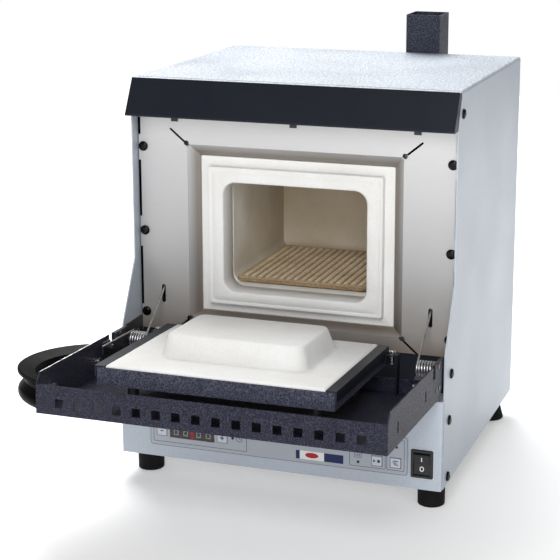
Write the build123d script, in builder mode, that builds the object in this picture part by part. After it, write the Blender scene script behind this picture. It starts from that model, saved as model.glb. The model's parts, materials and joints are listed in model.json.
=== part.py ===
"""Benchtop chamber kiln with a drop-down tray door, shown with the door open.

Millimetres, +Z up. It is drawn with X = 0 in the middle of the casing, Y = 0 in the
plane of the kiln's mouth with +Y towards the back, and Z = 0 at the casing's flat
underside. TO_BENCH then moves every piece so that the origin lies on the bench,
under the middle of the open kiln's overall length and width.
"""

import os
from math import cos, radians, sin

from build123d import *

os.makedirs("parts", exist_ok=True)

# Casing
HALF_W = 190.0
CASE_H = 431.0
CASE_D = 306.0
SHEET = 1.5
INNER_W = HALF_W - SHEET
EDGE_Y = -16.0
LOW_EDGE_Y = -53.0
FOOT_H = 29.0
TO_BENCH = Location((26.0, -42.0, FOOT_H))

# Front plate and mouth
PLATE_Y = -2.0
PLATE_BOTTOM = 135.0
PLATE_TOP = 389.5
FUNNEL_HALF_W = 127.0
FUNNEL_Z = (152.4, 356.0)
COLLAR_HALF_W = 114.6
COLLAR_Z = (160.6, 342.4)
COLLAR_Y = 8.9
STEP_HALF_W = 103.3
STEP_Z = (171.3, 331.9)
STEP_Y = -0.5
MOUTH_HALF_W = 85.0
MOUTH_Z = (186.8, 314.5)
MOUTH_R = 15.0

# Chamber
CHAMBER_Z = (191.0, 313.0)
CHAMBER_FRONT = 32.0
CHAMBER_BACK = 207.0
MUFFLE_HALF_W = 104.0
MUFFLE_Z = (172.0, 332.0)
MUFFLE_BACK = 225.0
HEATER_R = 3.0
BLOCK_HALF_W = 150.0
BLOCK_Z = (126.0, 378.0)
BLOCK_BACK = 264.0

# Fascia
FASCIA_Y = -60.5
FASCIA_TOP = 103.0
OVERLAY_Y = FASCIA_Y - 0.8
KEY_SPOTS = {"minus": (-139.1, 32.0), "plus": (-65.0, 32.0), "start": (117.2, 27.4), "program": (138.5, 27.8)}
KEY_W = 12.2
KEY_H = 11.6
DISPLAY = (-102.0, 33.0, 54.4, 15.4)
SWITCH = (168.2, 30.2)

# Door, in its own frame: x across, u outwards from the hinge, w up from the tray
AXIS_Y = -28.0
AXIS_Z = 134.5
TILT = 2.4
COS_T = cos(radians(TILT))
SIN_T = sin(radians(TILT))
TRAY_HALF_W = 187.5
TRAY_REAR = 36.0
TRAY_LIP = 240.5
TRAY_FLOOR = -27.0
WALL_TOP = 15.0
LIP_TOP = 4.0
PAN_HALF_W = 128.0
PAN_U = (34.5, 222.0)
PAN_W = (5.0, 23.6)
RAIL_INNER = 118.3
SLAB_TOP = 26.6
PLUG_TOP = 50.4
COIL_U = 23.0
COIL_R = 7.4
WIRE_R = 1.1
LEG_X = 159.5
LEG_ANGLE = 38.4
HANDLE_U = 151.4
HANDLE_X = -157.5

door = Plane(origin=(0, AXIS_Y, AXIS_Z), x_dir=(1, 0, 0), z_dir=(0, SIN_T, COS_T))


def at_y(y):
    """Upright plane across the kiln at depth y; a sketch on it extrudes forwards."""
    return Plane.XZ.offset(-y)


def door_side(x):
    """Plane of a door side wall at x; sketch axes are (u, w)."""
    return Plane(origin=(x, AXIS_Y, AXIS_Z), x_dir=(0, -COS_T, SIN_T), z_dir=(-1, 0, 0))


def door_front(u):
    """Plane across the door at u; sketch axes are (x, w), extruding outwards."""
    return Plane(origin=door.from_local_coords((0, -u, 0)), x_dir=(1, 0, 0), z_dir=(0, -COS_T, SIN_T))


def fill(x0, x1, y0, y1, z0, z1, mode=Mode.ADD):
    """Block between two corners in the kiln's frame."""
    with Locations(((x0 + x1) / 2, (y0 + y1) / 2, (z0 + z1) / 2)):
        Box(x1 - x0, y1 - y0, z1 - z0, mode=mode)


def door_fill(x0, x1, u0, u1, w0, w1, mode=Mode.ADD):
    """Block between two corners in the door's frame."""
    with Locations(door.location * Location(((x0 + x1) / 2, -(u0 + u1) / 2, (w0 + w1) / 2))):
        Box(x1 - x0, u1 - u0, w1 - w0, mode=mode)


def door_stud(x, u, w0, w1, radius, mode=Mode.ADD):
    """Round stud standing on the tray, from w0 to w1."""
    with BuildSketch(door.offset(w0)) as section:
        with Locations((x, -u)):
            Circle(radius)
    extrude(section.sketch, amount=w1 - w0, mode=mode)


def door_pin(x0, x1, u, w, radius, mode=Mode.ADD):
    """Round pin lying across the door from x0 to x1 (x1 > x0)."""
    with BuildSketch(door_side(x1)) as section:
        with Locations((u, w)):
            Circle(radius)
    extrude(section.sketch, amount=x1 - x0, mode=mode)


# ---------------------------------------------------------------- casing

SIDE_SCREWS = [(3.0, 406.0), (-26.5, 125.2), (-33.0, 74.0), (-34.6, 9.2)]

with BuildPart() as casing_shell:
    with BuildSketch(Plane.YZ.offset(-HALF_W)) as profile:
        with BuildLine():
            Polyline(
                (0, CASE_H),
                (CASE_D, CASE_H),
                (CASE_D, 0),
                (LOW_EDGE_Y, 0),
                (LOW_EDGE_Y, 152),
                (EDGE_Y, 222),
                (EDGE_Y, 391),
                close=True,
            )
        make_face()
        curve_corners = [v for v in profile.vertices() if 100 < v.Z < 300]
        fillet(curve_corners, radius=34)
    extrude(amount=2 * HALF_W)
    top_edges = casing_shell.edges().filter_by(Axis.Y).filter_by(lambda e: e.center().Z > CASE_H - 1)
    fillet(top_edges, radius=3.0)
    fill(-INNER_W, INNER_W, -90, CASE_D + 5, -5, CASE_H - SHEET, mode=Mode.SUBTRACT)
    fill(-187.0, 187.0, 0.0, SHEET, 427.5, CASE_H - SHEET)
    with BuildSketch(Plane.YZ.offset(-HALF_W - 1)):
        with Locations(*SIDE_SCREWS):
            Circle(2.2)
    extrude(amount=2 * HALF_W + 2, mode=Mode.SUBTRACT)
casing_shell.part.label = "casing_shell"
export_step(casing_shell.part.moved(TO_BENCH), "parts/casing_shell.step")

with BuildPart() as side_screws:
    for side in (-1, 1):
        head_plane = Plane(origin=(side * HALF_W, 0, 0), x_dir=(0, 1, 0), z_dir=(1, 0, 0))
        with BuildSketch(head_plane):
            with Locations(*SIDE_SCREWS):
                Circle(5.5)
        extrude(amount=side * 2.8)
        with BuildSketch(head_plane):
            with Locations(*SIDE_SCREWS):
                Circle(2.0)
        extrude(amount=-side * 3.1)
    rims = side_screws.edges().filter_by(GeomType.CIRCLE)
    fillet([e for e in rims if abs(e.center().X) > HALF_W + 2.7], radius=2.2)
side_screws.part.label = "side_screws"
export_step(side_screws.part.moved(TO_BENCH), "parts/side_screws.step")

CHIMNEY_X = 65.4
TUBE_Z = 292.0
INLET = (-140.0, 46.0)
THERMO = (-32.0, 296.0)
BACK_SCREWS = [(x, z) for x in (-178, 178) for z in (24, 150, 285, 418)]
CHIMNEY_SCREWS = [(CHIMNEY_X + dx, z) for dx in (-27.5, 27.5) for z in (278, 350, 420)]

with BuildPart() as back_panel:
    with BuildSketch(at_y(CASE_D - 0.8)):
        with Locations((0, 214.6)):
            Rectangle(376, 427)
        with Locations((CHIMNEY_X, TUBE_Z)):
            Circle(8.6, mode=Mode.SUBTRACT)
        with Locations(INLET):
            Rectangle(28.4, 21.4, mode=Mode.SUBTRACT)
        with Locations(*BACK_SCREWS):
            Circle(2.0, mode=Mode.SUBTRACT)
        with Locations((-60, 384)):
            with GridLocations(26, 9, 6, 3):
                SlotOverall(20, 3.6, mode=Mode.SUBTRACT)
        with Locations((20, 46)):
            with GridLocations(26, 9, 6, 4):
                SlotOverall(20, 3.6, mode=Mode.SUBTRACT)
        with Locations(*CHIMNEY_SCREWS):
            Circle(1.7, mode=Mode.SUBTRACT)
    extrude(amount=1.2)
back_panel.part.label = "back_panel"
export_step(back_panel.part.moved(TO_BENCH), "parts/back_panel.step")

with BuildPart() as back_screws:
    for spots, seat in ((BACK_SCREWS, CASE_D - 0.8), (CHIMNEY_SCREWS, CASE_D + 1.5)):
        with BuildSketch(at_y(seat)):
            with Locations(*spots):
                Circle(3.8)
        extrude(amount=-2.0)
        with BuildSketch(at_y(seat)):
            with Locations(*spots):
                Circle(1.5)
        extrude(amount=8)
    rims = back_screws.edges().filter_by(GeomType.CIRCLE).filter_by(lambda e: e.radius > 3)
    outer_rims = [e for e in rims if min(abs(e.center().Y - y) for y in (CASE_D + 1.2, CASE_D + 3.5)) < 0.01]
    fillet(outer_rims, radius=1.3)
back_screws.part.label = "back_screws"
export_step(back_screws.part.moved(TO_BENCH), "parts/back_screws.step")

FOOT_SPOTS = [(-170, -24), (170, -24), (-170, 275), (170, 275)]

with BuildPart() as base_pan:
    fill(-187.8, 187.8, -51.5, 303.6, 0, 1.2)
    for side in (-1, 1):
        x0, x1 = sorted((side * 186.6, side * 187.8))
        fill(x0, x1, 20, 303.6, 1.2, 16)
    fill(-186.6, 186.6, 302.4, 303.6, 1.2, 10)
    with BuildSketch(Plane.XY):
        with Locations(*FOOT_SPOTS):
            Circle(2.4)
        with Locations((0, 60)):
            with GridLocations(34, 12, 7, 6):
                SlotOverall(26, 4)
        with Locations((0, 210)):
            with GridLocations(34, 12, 7, 6):
                SlotOverall(26, 4)
    extrude(amount=1.2, mode=Mode.SUBTRACT)
base_pan.part.label = "base_pan"
export_step(base_pan.part.moved(TO_BENCH), "parts/base_pan.step")

with BuildPart() as front_feet:
    with BuildSketch(Plane.XY.offset(-FOOT_H)):
        with Locations(*FOOT_SPOTS[:2]):
            Circle(15.2)
    extrude(amount=FOOT_H, taper=-0.6)
    fillet(front_feet.edges().filter_by(GeomType.CIRCLE).group_by(Axis.Z)[0], radius=1.5)
    with BuildSketch(Plane.XY):
        with Locations(*FOOT_SPOTS[:2]):
            Circle(2.2)
    extrude(amount=-12, mode=Mode.SUBTRACT)
front_feet.part.label = "front_feet"
export_step(front_feet.part.moved(TO_BENCH), "parts/front_feet.step")

with BuildPart() as rear_feet:
    with BuildSketch(Plane.XY.offset(-FOOT_H)):
        with Locations(*FOOT_SPOTS[2:]):
            Circle(18)
    extrude(amount=FOOT_H, taper=14)
    fillet(rear_feet.edges().filter_by(GeomType.CIRCLE).group_by(Axis.Z)[0], radius=2)
    with BuildSketch(Plane.XY):
        with Locations(*FOOT_SPOTS[2:]):
            Circle(2.2)
    extrude(amount=-12, mode=Mode.SUBTRACT)
rear_feet.part.label = "rear_feet"
export_step(rear_feet.part.moved(TO_BENCH), "parts/rear_feet.step")

with BuildPart() as foot_screws:
    with BuildSketch(Plane.XY.offset(1.2)):
        with Locations(*FOOT_SPOTS):
            Circle(4.2)
    extrude(amount=2.8)
    with BuildSketch(Plane.XY.offset(1.2)):
        with Locations(*FOOT_SPOTS):
            Circle(2.0)
    extrude(amount=-12)
foot_screws.part.label = "foot_screws"
export_step(foot_screws.part.moved(TO_BENCH), "parts/foot_screws.step")

# ---------------------------------------------------------------- front of the casing

with BuildPart() as visor:
    with BuildSketch(Plane.YZ.offset(-189.6)):
        with BuildLine():
            Polyline(
                (-2.6, 429.3),
                (-10.4, 429.3),
                (-10.4, 430.8),
                (-11.3, 430.8),
                (-32.8, 392.2),
                (-32.8, 390.2),
                (-2.6, 390.2),
                close=True,
            )
        make_face()
    extrude(amount=379.2)
    with BuildSketch(Plane.YZ.offset(-188.0)):
        with BuildLine():
            Polyline((0, 427.9), (-10.6, 427.9), (-31.0, 391.7), (0, 391.7), close=True)
        make_face()
    extrude(amount=376.0, mode=Mode.SUBTRACT)
    for side in (-1, 1):
        with BuildSketch(Plane.YZ.offset(side * 188.2)):
            with BuildLine():
                Polyline((-0.3, 431), (-16.3, 391.2), (-16.3, 388), (10, 388), (10, 431), close=True)
            make_face()
        extrude(amount=side * 3, mode=Mode.SUBTRACT)
visor.part.label = "visor"
export_step(visor.part.moved(TO_BENCH), "parts/visor.step")

with BuildPart() as top_rail:
    fill(-189.4, 189.4, -10.1, -0.6, 429.5, 430.8)
    fill(-188.2, 188.2, -2.4, -1.2, 420.0, 429.5)
top_rail.part.label = "top_rail"
export_step(top_rail.part.moved(TO_BENCH), "parts/top_rail.step")

with BuildPart() as visor_clips:
    for x in (-142, 0, 142):
        fill(x - 4, x + 4, PLATE_Y - 1.4, PLATE_Y, 381.5, 389.9)
visor_clips.part.label = "visor_clips"
export_step(visor_clips.part.moved(TO_BENCH), "parts/visor_clips.step")

PLATE_SCREWS = [(side * 181.5, z) for side in (-1, 1) for z in (155.0, 252.3, 350.9)]
SLITS = [
    (side * x, z, side * angle)
    for side in (-1, 1)
    for x, z, angle in ((134.0, 361.6, 39.5), (133.0, 145.6, -41.0))
]

with BuildPart() as front_plate:
    with BuildSketch(at_y(-1.0)):
        with Locations((0, (FUNNEL_Z[0] + FUNNEL_Z[1]) / 2)):
            Rectangle(2 * FUNNEL_HALF_W + 2, FUNNEL_Z[1] - FUNNEL_Z[0] + 2)
    with BuildSketch(at_y(COLLAR_Y)):
        with Locations((0, (COLLAR_Z[0] + COLLAR_Z[1]) / 2)):
            Rectangle(2 * COLLAR_HALF_W + 3.4, COLLAR_Z[1] - COLLAR_Z[0] + 3.4)
    loft()
    with BuildSketch(at_y(-1.0)):
        with Locations((0, (FUNNEL_Z[0] + FUNNEL_Z[1]) / 2)):
            Rectangle(2 * FUNNEL_HALF_W, FUNNEL_Z[1] - FUNNEL_Z[0])
    with BuildSketch(at_y(COLLAR_Y)):
        with Locations((0, (COLLAR_Z[0] + COLLAR_Z[1]) / 2)):
            Rectangle(2 * COLLAR_HALF_W + 1.4, COLLAR_Z[1] - COLLAR_Z[0] + 1.4)
    loft(mode=Mode.SUBTRACT)
    with BuildSketch(at_y(-1.0)):
        with Locations((0, (PLATE_BOTTOM + PLATE_TOP) / 2)):
            Rectangle(374.4, PLATE_TOP - PLATE_BOTTOM)
        with Locations((0, (FUNNEL_Z[0] + FUNNEL_Z[1]) / 2)):
            Rectangle(2 * FUNNEL_HALF_W, FUNNEL_Z[1] - FUNNEL_Z[0], mode=Mode.SUBTRACT)
        for side in (-1, 1):
            for z0, z1 in ((364.3, 384.5), (268.5, 334.8), (163.0, 233.0)):
                with Locations((side * 186.5, (z0 + z1) / 2)):
                    Rectangle(3.4, z1 - z0, mode=Mode.SUBTRACT)
    extrude(amount=1.0)
    with BuildSketch(at_y(0.5)):
        for x, z, angle in SLITS:
            with Locations(Location((x, z, 0), (0, 0, angle))):
                SlotOverall(37, 2.4)
        for side in (-1, 1):
            with Locations((side * 128.2, 357.2), (side * 127.6, 151.2)):
                Circle(3.0)
            with Locations((side * LEG_X, 178.2)):
                SlotOverall(21.6, 4.8, rotation=90)
        with Locations(*PLATE_SCREWS):
            Circle(2.2)
    extrude(amount=3.0, mode=Mode.SUBTRACT)
front_plate.part.label = "front_plate"
export_step(front_plate.part.moved(TO_BENCH), "parts/front_plate.step")

with BuildPart() as front_frame:
    fill(-188.2, 188.2, -1.0, -0.2, 390.2, 429.0)
    fill(-188.2, 188.2, -0.2, 12.0, 390.2, 391.2)
    for side in (-1, 1):
        x0, x1 = sorted((side * 174, side * 188.2))
        fill(x0, x1, -1.0, 0.4, 136, 388)
        x0, x1 = sorted((side * 186.8, side * 188.2))
        fill(x0, x1, 0.4, 14, 136, 388)
    with BuildSketch(at_y(2.0)):
        with Locations(*PLATE_SCREWS):
            Circle(2.1)
    extrude(amount=4.0, mode=Mode.SUBTRACT)
front_frame.part.label = "front_frame"
export_step(front_frame.part.moved(TO_BENCH), "parts/front_frame.step")

with BuildPart() as plate_screws:
    with BuildSketch(at_y(PLATE_Y)):
        with Locations(*PLATE_SCREWS):
            Circle(5.6)
    extrude(amount=3.0)
    fillet(plate_screws.edges().filter_by(GeomType.CIRCLE).group_by(Axis.Y)[0], radius=2.4)
    with BuildSketch(at_y(PLATE_Y)):
        with Locations(*PLATE_SCREWS):
            Circle(2.0)
    extrude(amount=-8)
plate_screws.part.label = "plate_screws"
export_step(plate_screws.part.moved(TO_BENCH), "parts/plate_screws.step")

with BuildPart() as sill_panel:
    with BuildSketch(Plane.YZ.offset(-186.0)):
        with BuildLine():
            Polyline(
                (-30.0, 100.0),
                (-28.6, 100.0),
                (-28.6, 103.4),
                (0.2, 134.0),
                (6.0, 134.0),
                (6.0, 135.2),
                (-0.6, 135.2),
                (-30.0, 104.0),
                close=True,
            )
        make_face()
    extrude(amount=372.0)
sill_panel.part.label = "sill_panel"
export_step(sill_panel.part.moved(TO_BENCH), "parts/sill_panel.step")

# ---------------------------------------------------------------- fascia and controls

with BuildPart() as control_fascia:
    fill(-189.6, 189.6, FASCIA_Y, FASCIA_Y + 1.2, 0.4, FASCIA_TOP)
    upright = control_fascia.edges().filter_by(Axis.Z).filter_by(lambda e: e.center().Y < FASCIA_Y + 0.5)
    fillet(upright, radius=1.0)
    fill(-188.0, 188.0, FASCIA_Y + 1.0, -30.4, FASCIA_TOP - 1.2, FASCIA_TOP)
    fill(-188.4, 188.4, FASCIA_Y + 1.0, -52.0, 0.4, 1.6)
    fill(-189.0, 189.0, FASCIA_Y + 1.0, -54.4, FASCIA_TOP - 1.2, FASCIA_TOP)
    for side in (-1, 1):
        x0, x1 = sorted((side * 188.4, side * 189.6))
        fill(x0, x1, FASCIA_Y + 1.0, -54.4, 0.4, FASCIA_TOP)
    with BuildSketch(at_y(FASCIA_Y + 3)):
        with Locations(SWITCH):
            Rectangle(22.4, 30.0)
        with Locations((DISPLAY[0], DISPLAY[1])):
            Rectangle(DISPLAY[2] + 0.8, DISPLAY[3] + 0.8)
        for spot in KEY_SPOTS.values():
            with Locations(spot):
                Rectangle(KEY_W + 1.2, KEY_H + 1.2)
    extrude(amount=4.0, mode=Mode.SUBTRACT)
control_fascia.part.label = "control_fascia"
export_step(control_fascia.part.moved(TO_BENCH), "parts/control_fascia.step")

LED_SPOTS = [(-52.3, 33.0), (95.8, 23.8), (139.5, 46.0)]

with BuildPart() as membrane_overlay:
    with BuildSketch(at_y(FASCIA_Y)):
        with Locations((-0.8, 36.5)):
            RectangleRounded(306.4, 45.0, 4.0)
        with Locations((DISPLAY[0], DISPLAY[1])):
            Rectangle(DISPLAY[2] + 0.6, DISPLAY[3] + 0.6, mode=Mode.SUBTRACT)
        for spot in KEY_SPOTS.values():
            with Locations(spot):
                Rectangle(KEY_W + 0.8, KEY_H + 0.8, mode=Mode.SUBTRACT)
        with Locations(*LED_SPOTS):
            Circle(1.7, mode=Mode.SUBTRACT)
    extrude(amount=0.8)
membrane_overlay.part.label = "membrane_overlay"
export_step(membrane_overlay.part.moved(TO_BENCH), "parts/membrane_overlay.step")

with BuildPart() as display_window:
    fill(
        DISPLAY[0] - DISPLAY[2] / 2,
        DISPLAY[0] + DISPLAY[2] / 2,
        OVERLAY_Y + 0.1,
        FASCIA_Y + 0.9,
        DISPLAY[1] - DISPLAY[3] / 2,
        DISPLAY[1] + DISPLAY[3] / 2,
    )
display_window.part.label = "display_window"
export_step(display_window.part.moved(TO_BENCH), "parts/display_window.step")

with BuildPart() as display_module:
    fill(-128.0, -76.0, -58.6, -50.0, 26.0, 40.0)
    for x in (-121.5, -108.5, -95.5, -82.5):
        fill(x - 3.6, x + 3.6, -59.2, -58.6, 27.6, 38.4)
display_module.part.label = "display_module"
export_step(display_module.part.moved(TO_BENCH), "parts/display_module.step")

with BuildPart() as status_leds:
    with BuildSketch(at_y(FASCIA_Y)):
        with Locations(*LED_SPOTS):
            Circle(1.5)
    extrude(amount=1.1)
    fillet(status_leds.edges().filter_by(GeomType.CIRCLE).group_by(Axis.Y)[0], radius=0.6)
status_leds.part.label = "status_leds"
export_step(status_leds.part.moved(TO_BENCH), "parts/status_leds.step")


def key_cap(spot):
    """Flat key cap standing just proud of the overlay."""
    with BuildSketch(at_y(OVERLAY_Y + 0.4)) as cap:
        with Locations(spot):
            RectangleRounded(KEY_W, KEY_H, 1.2)
    extrude(cap.sketch, amount=0.9)
    with BuildSketch(at_y(-55.3)) as stem:
        with Locations(spot):
            Circle(2.4)
    extrude(stem.sketch, amount=-55.3 - OVERLAY_Y)


with BuildPart() as key_minus:
    key_cap(KEY_SPOTS["minus"])
key_minus.part.label = "key_minus"
export_step(key_minus.part.moved(TO_BENCH), "parts/key_minus.step")

with BuildPart() as key_plus:
    key_cap(KEY_SPOTS["plus"])
key_plus.part.label = "key_plus"
export_step(key_plus.part.moved(TO_BENCH), "parts/key_plus.step")

with BuildPart() as key_start:
    key_cap(KEY_SPOTS["start"])
key_start.part.label = "key_start"
export_step(key_start.part.moved(TO_BENCH), "parts/key_start.step")

with BuildPart() as key_program:
    key_cap(KEY_SPOTS["program"])
key_program.part.label = "key_program"
export_step(key_program.part.moved(TO_BENCH), "parts/key_program.step")

with BuildPart() as switch_bezel:
    with BuildSketch(at_y(FASCIA_Y)):
        with Locations(SWITCH):
            RectangleRounded(25.0, 32.3, 1.5)
    extrude(amount=2.2)
    chamfer(switch_bezel.faces().sort_by(Axis.Y)[0].edges(), length=0.6)
    fill(SWITCH[0] - 10.8, SWITCH[0] + 10.8, FASCIA_Y, -38.0, SWITCH[1] - 14.6, SWITCH[1] + 14.6)
    x, z = SWITCH
    fill(x - 9.4, x + 9.4, -64.0, -46.0, z - 13.3, z + 13.3, mode=Mode.SUBTRACT)
    for dx in (-5.0, 5.0):
        fill(SWITCH[0] + dx - 0.4, SWITCH[0] + dx + 0.4, -38.0, -30.0, SWITCH[1] - 3, SWITCH[1] + 3)
    with BuildSketch(Plane.YZ.offset(SWITCH[0] - 10.9)):
        with Locations((-57.5, SWITCH[1])):
            Circle(1.55)
    extrude(amount=21.8, mode=Mode.SUBTRACT)
switch_bezel.part.label = "switch_bezel"
export_step(switch_bezel.part.moved(TO_BENCH), "parts/switch_bezel.step")

with BuildPart() as switch_rocker:
    with BuildSketch(Plane.YZ.offset(SWITCH[0] - 9.0)):
        with Locations((-57.5, SWITCH[1])):
            Circle(12.9)
        with BuildLine():
            Polyline(
                (-45.0, SWITCH[1] - 20),
                (-45.0, SWITCH[1] + 20),
                (-66.4, SWITCH[1] + 20),
                (-61.6, SWITCH[1]),
                (-61.6, SWITCH[1] - 20),
                close=True,
            )
        make_face(mode=Mode.INTERSECT)
        with BuildLine():
            Polyline(
                (-40.0, SWITCH[1] - 20),
                (-54.5, SWITCH[1] - 20),
                (-54.5, SWITCH[1] + 20),
                (-40.0, SWITCH[1] + 20),
                close=True,
            )
        make_face(mode=Mode.SUBTRACT)
    extrude(amount=18.0)
    with BuildSketch(Plane.YZ.offset(SWITCH[0] - 10.8)):
        with Locations((-57.5, SWITCH[1])):
            Circle(1.5)
    extrude(amount=21.6)
switch_rocker.part.label = "switch_rocker"
export_step(switch_rocker.part.moved(TO_BENCH), "parts/switch_rocker.step")

with BuildPart() as control_board:
    fill(-152.0, 150.0, -50.0, -48.4, 12.0, 62.0)
    for spot in KEY_SPOTS.values():
        fill(spot[0] - 3, spot[0] + 3, -54.5, -50.0, spot[1] - 3, spot[1] + 3)
    fill(-20.0, 0.0, -48.4, -44.4, 26.0, 46.0)
    fill(30.0, 52.0, -48.4, -36.4, 24.0, 50.0)
    for x in (66.0, 78.0, 90.0):
        with BuildSketch(at_y(-48.4)):
            with Locations((x, 50.0)):
                Circle(4.0)
        extrude(amount=-12)
control_board.part.label = "control_board"
export_step(control_board.part.moved(TO_BENCH), "parts/control_board.step")

with BuildPart() as board_spacers:
    for x in (-146.0, 60.0, 146.0):
        for z in (16.0, 57.0):
            with BuildSketch(at_y(-50.0)):
                with Locations((x, z)):
                    Circle(2.6)
            extrude(amount=9.2)
board_spacers.part.label = "board_spacers"
export_step(board_spacers.part.moved(TO_BENCH), "parts/board_spacers.step")

# ---------------------------------------------------------------- heated chamber

with BuildPart() as mouth_collar:
    with BuildSketch(at_y(CHAMBER_FRONT)):
        with Locations((0, (COLLAR_Z[0] + COLLAR_Z[1]) / 2)):
            Rectangle(2 * COLLAR_HALF_W, COLLAR_Z[1] - COLLAR_Z[0])
    extrude(amount=CHAMBER_FRONT - COLLAR_Y)
    chamfer(mouth_collar.faces().sort_by(Axis.Y)[0].edges(), length=1.2)
    with BuildSketch(at_y(COLLAR_Y)):
        with Locations((0, (STEP_Z[0] + STEP_Z[1]) / 2)):
            Rectangle(2 * STEP_HALF_W, STEP_Z[1] - STEP_Z[0])
    extrude(amount=COLLAR_Y - STEP_Y)
    chamfer(mouth_collar.faces().sort_by(Axis.Y)[0].edges(), length=1.5)
    with BuildSketch(at_y(CHAMBER_FRONT + 1)):
        with Locations((0, (MOUTH_Z[0] + MOUTH_Z[1]) / 2)):
            RectangleRounded(2 * MOUTH_HALF_W, MOUTH_Z[1] - MOUTH_Z[0], MOUTH_R)
    extrude(amount=40, mode=Mode.SUBTRACT)
    inner_rim = mouth_collar.faces().sort_by(Axis.Y)[0].inner_wires()[0].edges()
    fillet(inner_rim, radius=2.5)
mouth_collar.part.label = "mouth_collar"
export_step(mouth_collar.part.moved(TO_BENCH), "parts/mouth_collar.step")


def heater_path(x0, x1, y0, y1, passes, to_plane):
    """Serpentine centre line over a flat panel, with half-round bends."""
    step = (x1 - x0) / (passes - 1)
    with BuildLine(to_plane) as path:
        for i in range(passes):
            x = x0 + i * step
            ends = (y0, y1) if i % 2 == 0 else (y1, y0)
            Line((x, ends[0]), (x, ends[1]))
            if i < passes - 1:
                bulge = step / 2 if i % 2 == 0 else -step / 2
                ThreePointArc((x, ends[1]), (x + step / 2, ends[1] + bulge), (x + step, ends[1]))
    return path.line


with BuildPart() as heating_elements:
    for x in (-107.4, 107.4):
        flat = Plane(origin=(x, 0, 0), x_dir=(0, 0, 1), z_dir=(1, 0, 0))
        line = heater_path(197, 307, -200, -52, 6, flat)
        with BuildSketch(Plane(origin=line @ 0, z_dir=line % 0)):
            Circle(HEATER_R)
        sweep(path=line)
    for z in (168.6, 335.4):
        line = heater_path(-75, 75, 52, 200, 8, Plane.XY.offset(z))
        with BuildSketch(Plane(origin=line @ 0, z_dir=line % 0)):
            Circle(HEATER_R)
        sweep(path=line)
heating_elements.part.label = "heating_elements"
export_step(heating_elements.part.moved(TO_BENCH), "parts/heating_elements.step")

with BuildPart() as muffle:
    fill(-MUFFLE_HALF_W, MUFFLE_HALF_W, CHAMBER_FRONT, MUFFLE_BACK, MUFFLE_Z[0], MUFFLE_Z[1])
    with BuildSketch(at_y(CHAMBER_BACK)):
        with Locations((0, (CHAMBER_Z[0] + CHAMBER_Z[1]) / 2)):
            RectangleRounded(2 * MOUTH_HALF_W, CHAMBER_Z[1] - CHAMBER_Z[0], 12)
    extrude(amount=CHAMBER_BACK - CHAMBER_FRONT + 1, mode=Mode.SUBTRACT)
    with BuildSketch(at_y(MUFFLE_BACK + 1)):
        with Locations((CHIMNEY_X, TUBE_Z)):
            Circle(8.2)
        with Locations(THERMO):
            Circle(3.6)
    extrude(amount=22, mode=Mode.SUBTRACT)
muffle.part.label = "muffle"
export_step(muffle.part.moved(TO_BENCH), "parts/muffle.step")

PLATE_HALF_W = 78.5
PLATE_FRONT = 19.0
PLATE_BACK = 187.0

with BuildPart() as firing_plate:
    with BuildSketch(Plane.XY.offset(195.6)):
        with Locations((0, (PLATE_FRONT + PLATE_BACK) / 2)):
            RectangleRounded(2 * PLATE_HALF_W, PLATE_BACK - PLATE_FRONT, 9)
    extrude(amount=4.4)
    fillet(firing_plate.faces().sort_by(Axis.Z)[-1].edges(), radius=1.0)
    for i in range(17):
        x = -68.8 + 8.6 * i
        with BuildSketch(at_y(PLATE_BACK - 8)):
            with Locations((x, 199.6)):
                RectangleRounded(4.4, 3.2, 1.2)
        extrude(amount=PLATE_BACK - PLATE_FRONT - 16)
    for y in (48, 158):
        fill(-62, 62, y - 5, y + 5, 191.4, 195.8)
firing_plate.part.label = "firing_plate"
export_step(firing_plate.part.moved(TO_BENCH), "parts/firing_plate.step")

with BuildPart() as insulation_front:
    fill(-BLOCK_HALF_W, BLOCK_HALF_W, 12.6, 31.8, BLOCK_Z[0], BLOCK_Z[1])
    fill(-115.0, 115.0, 10, 34, COLLAR_Z[0] - 0.4, COLLAR_Z[1] + 0.4, mode=Mode.SUBTRACT)
insulation_front.part.label = "insulation_front"
export_step(insulation_front.part.moved(TO_BENCH), "parts/insulation_front.step")

with BuildPart() as insulation_boards:
    for z0 in (BLOCK_Z[0], 339.0):
        fill(-BLOCK_HALF_W, BLOCK_HALF_W, 32.0, BLOCK_BACK, z0, z0 + 39.0)
insulation_boards.part.label = "insulation_boards"
export_step(insulation_boards.part.moved(TO_BENCH), "parts/insulation_boards.step")

with BuildPart() as insulation_sides:
    for side in (-1, 1):
        x0, x1 = sorted((side * 111.0, side * 150.0))
        fill(x0, x1, 32.0, BLOCK_BACK, 165.2, 338.8)
insulation_sides.part.label = "insulation_sides"
export_step(insulation_sides.part.moved(TO_BENCH), "parts/insulation_sides.step")

with BuildPart() as insulation_back:
    fill(-110.8, 110.8, MUFFLE_BACK + 0.2, BLOCK_BACK, 165.2, 338.8)
    with BuildSketch(at_y(BLOCK_BACK + 1)):
        with Locations((CHIMNEY_X, TUBE_Z)):
            Circle(8.2)
        with Locations(THERMO):
            Circle(3.6)
    extrude(amount=45, mode=Mode.SUBTRACT)
insulation_back.part.label = "insulation_back"
export_step(insulation_back.part.moved(TO_BENCH), "parts/insulation_back.step")

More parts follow.
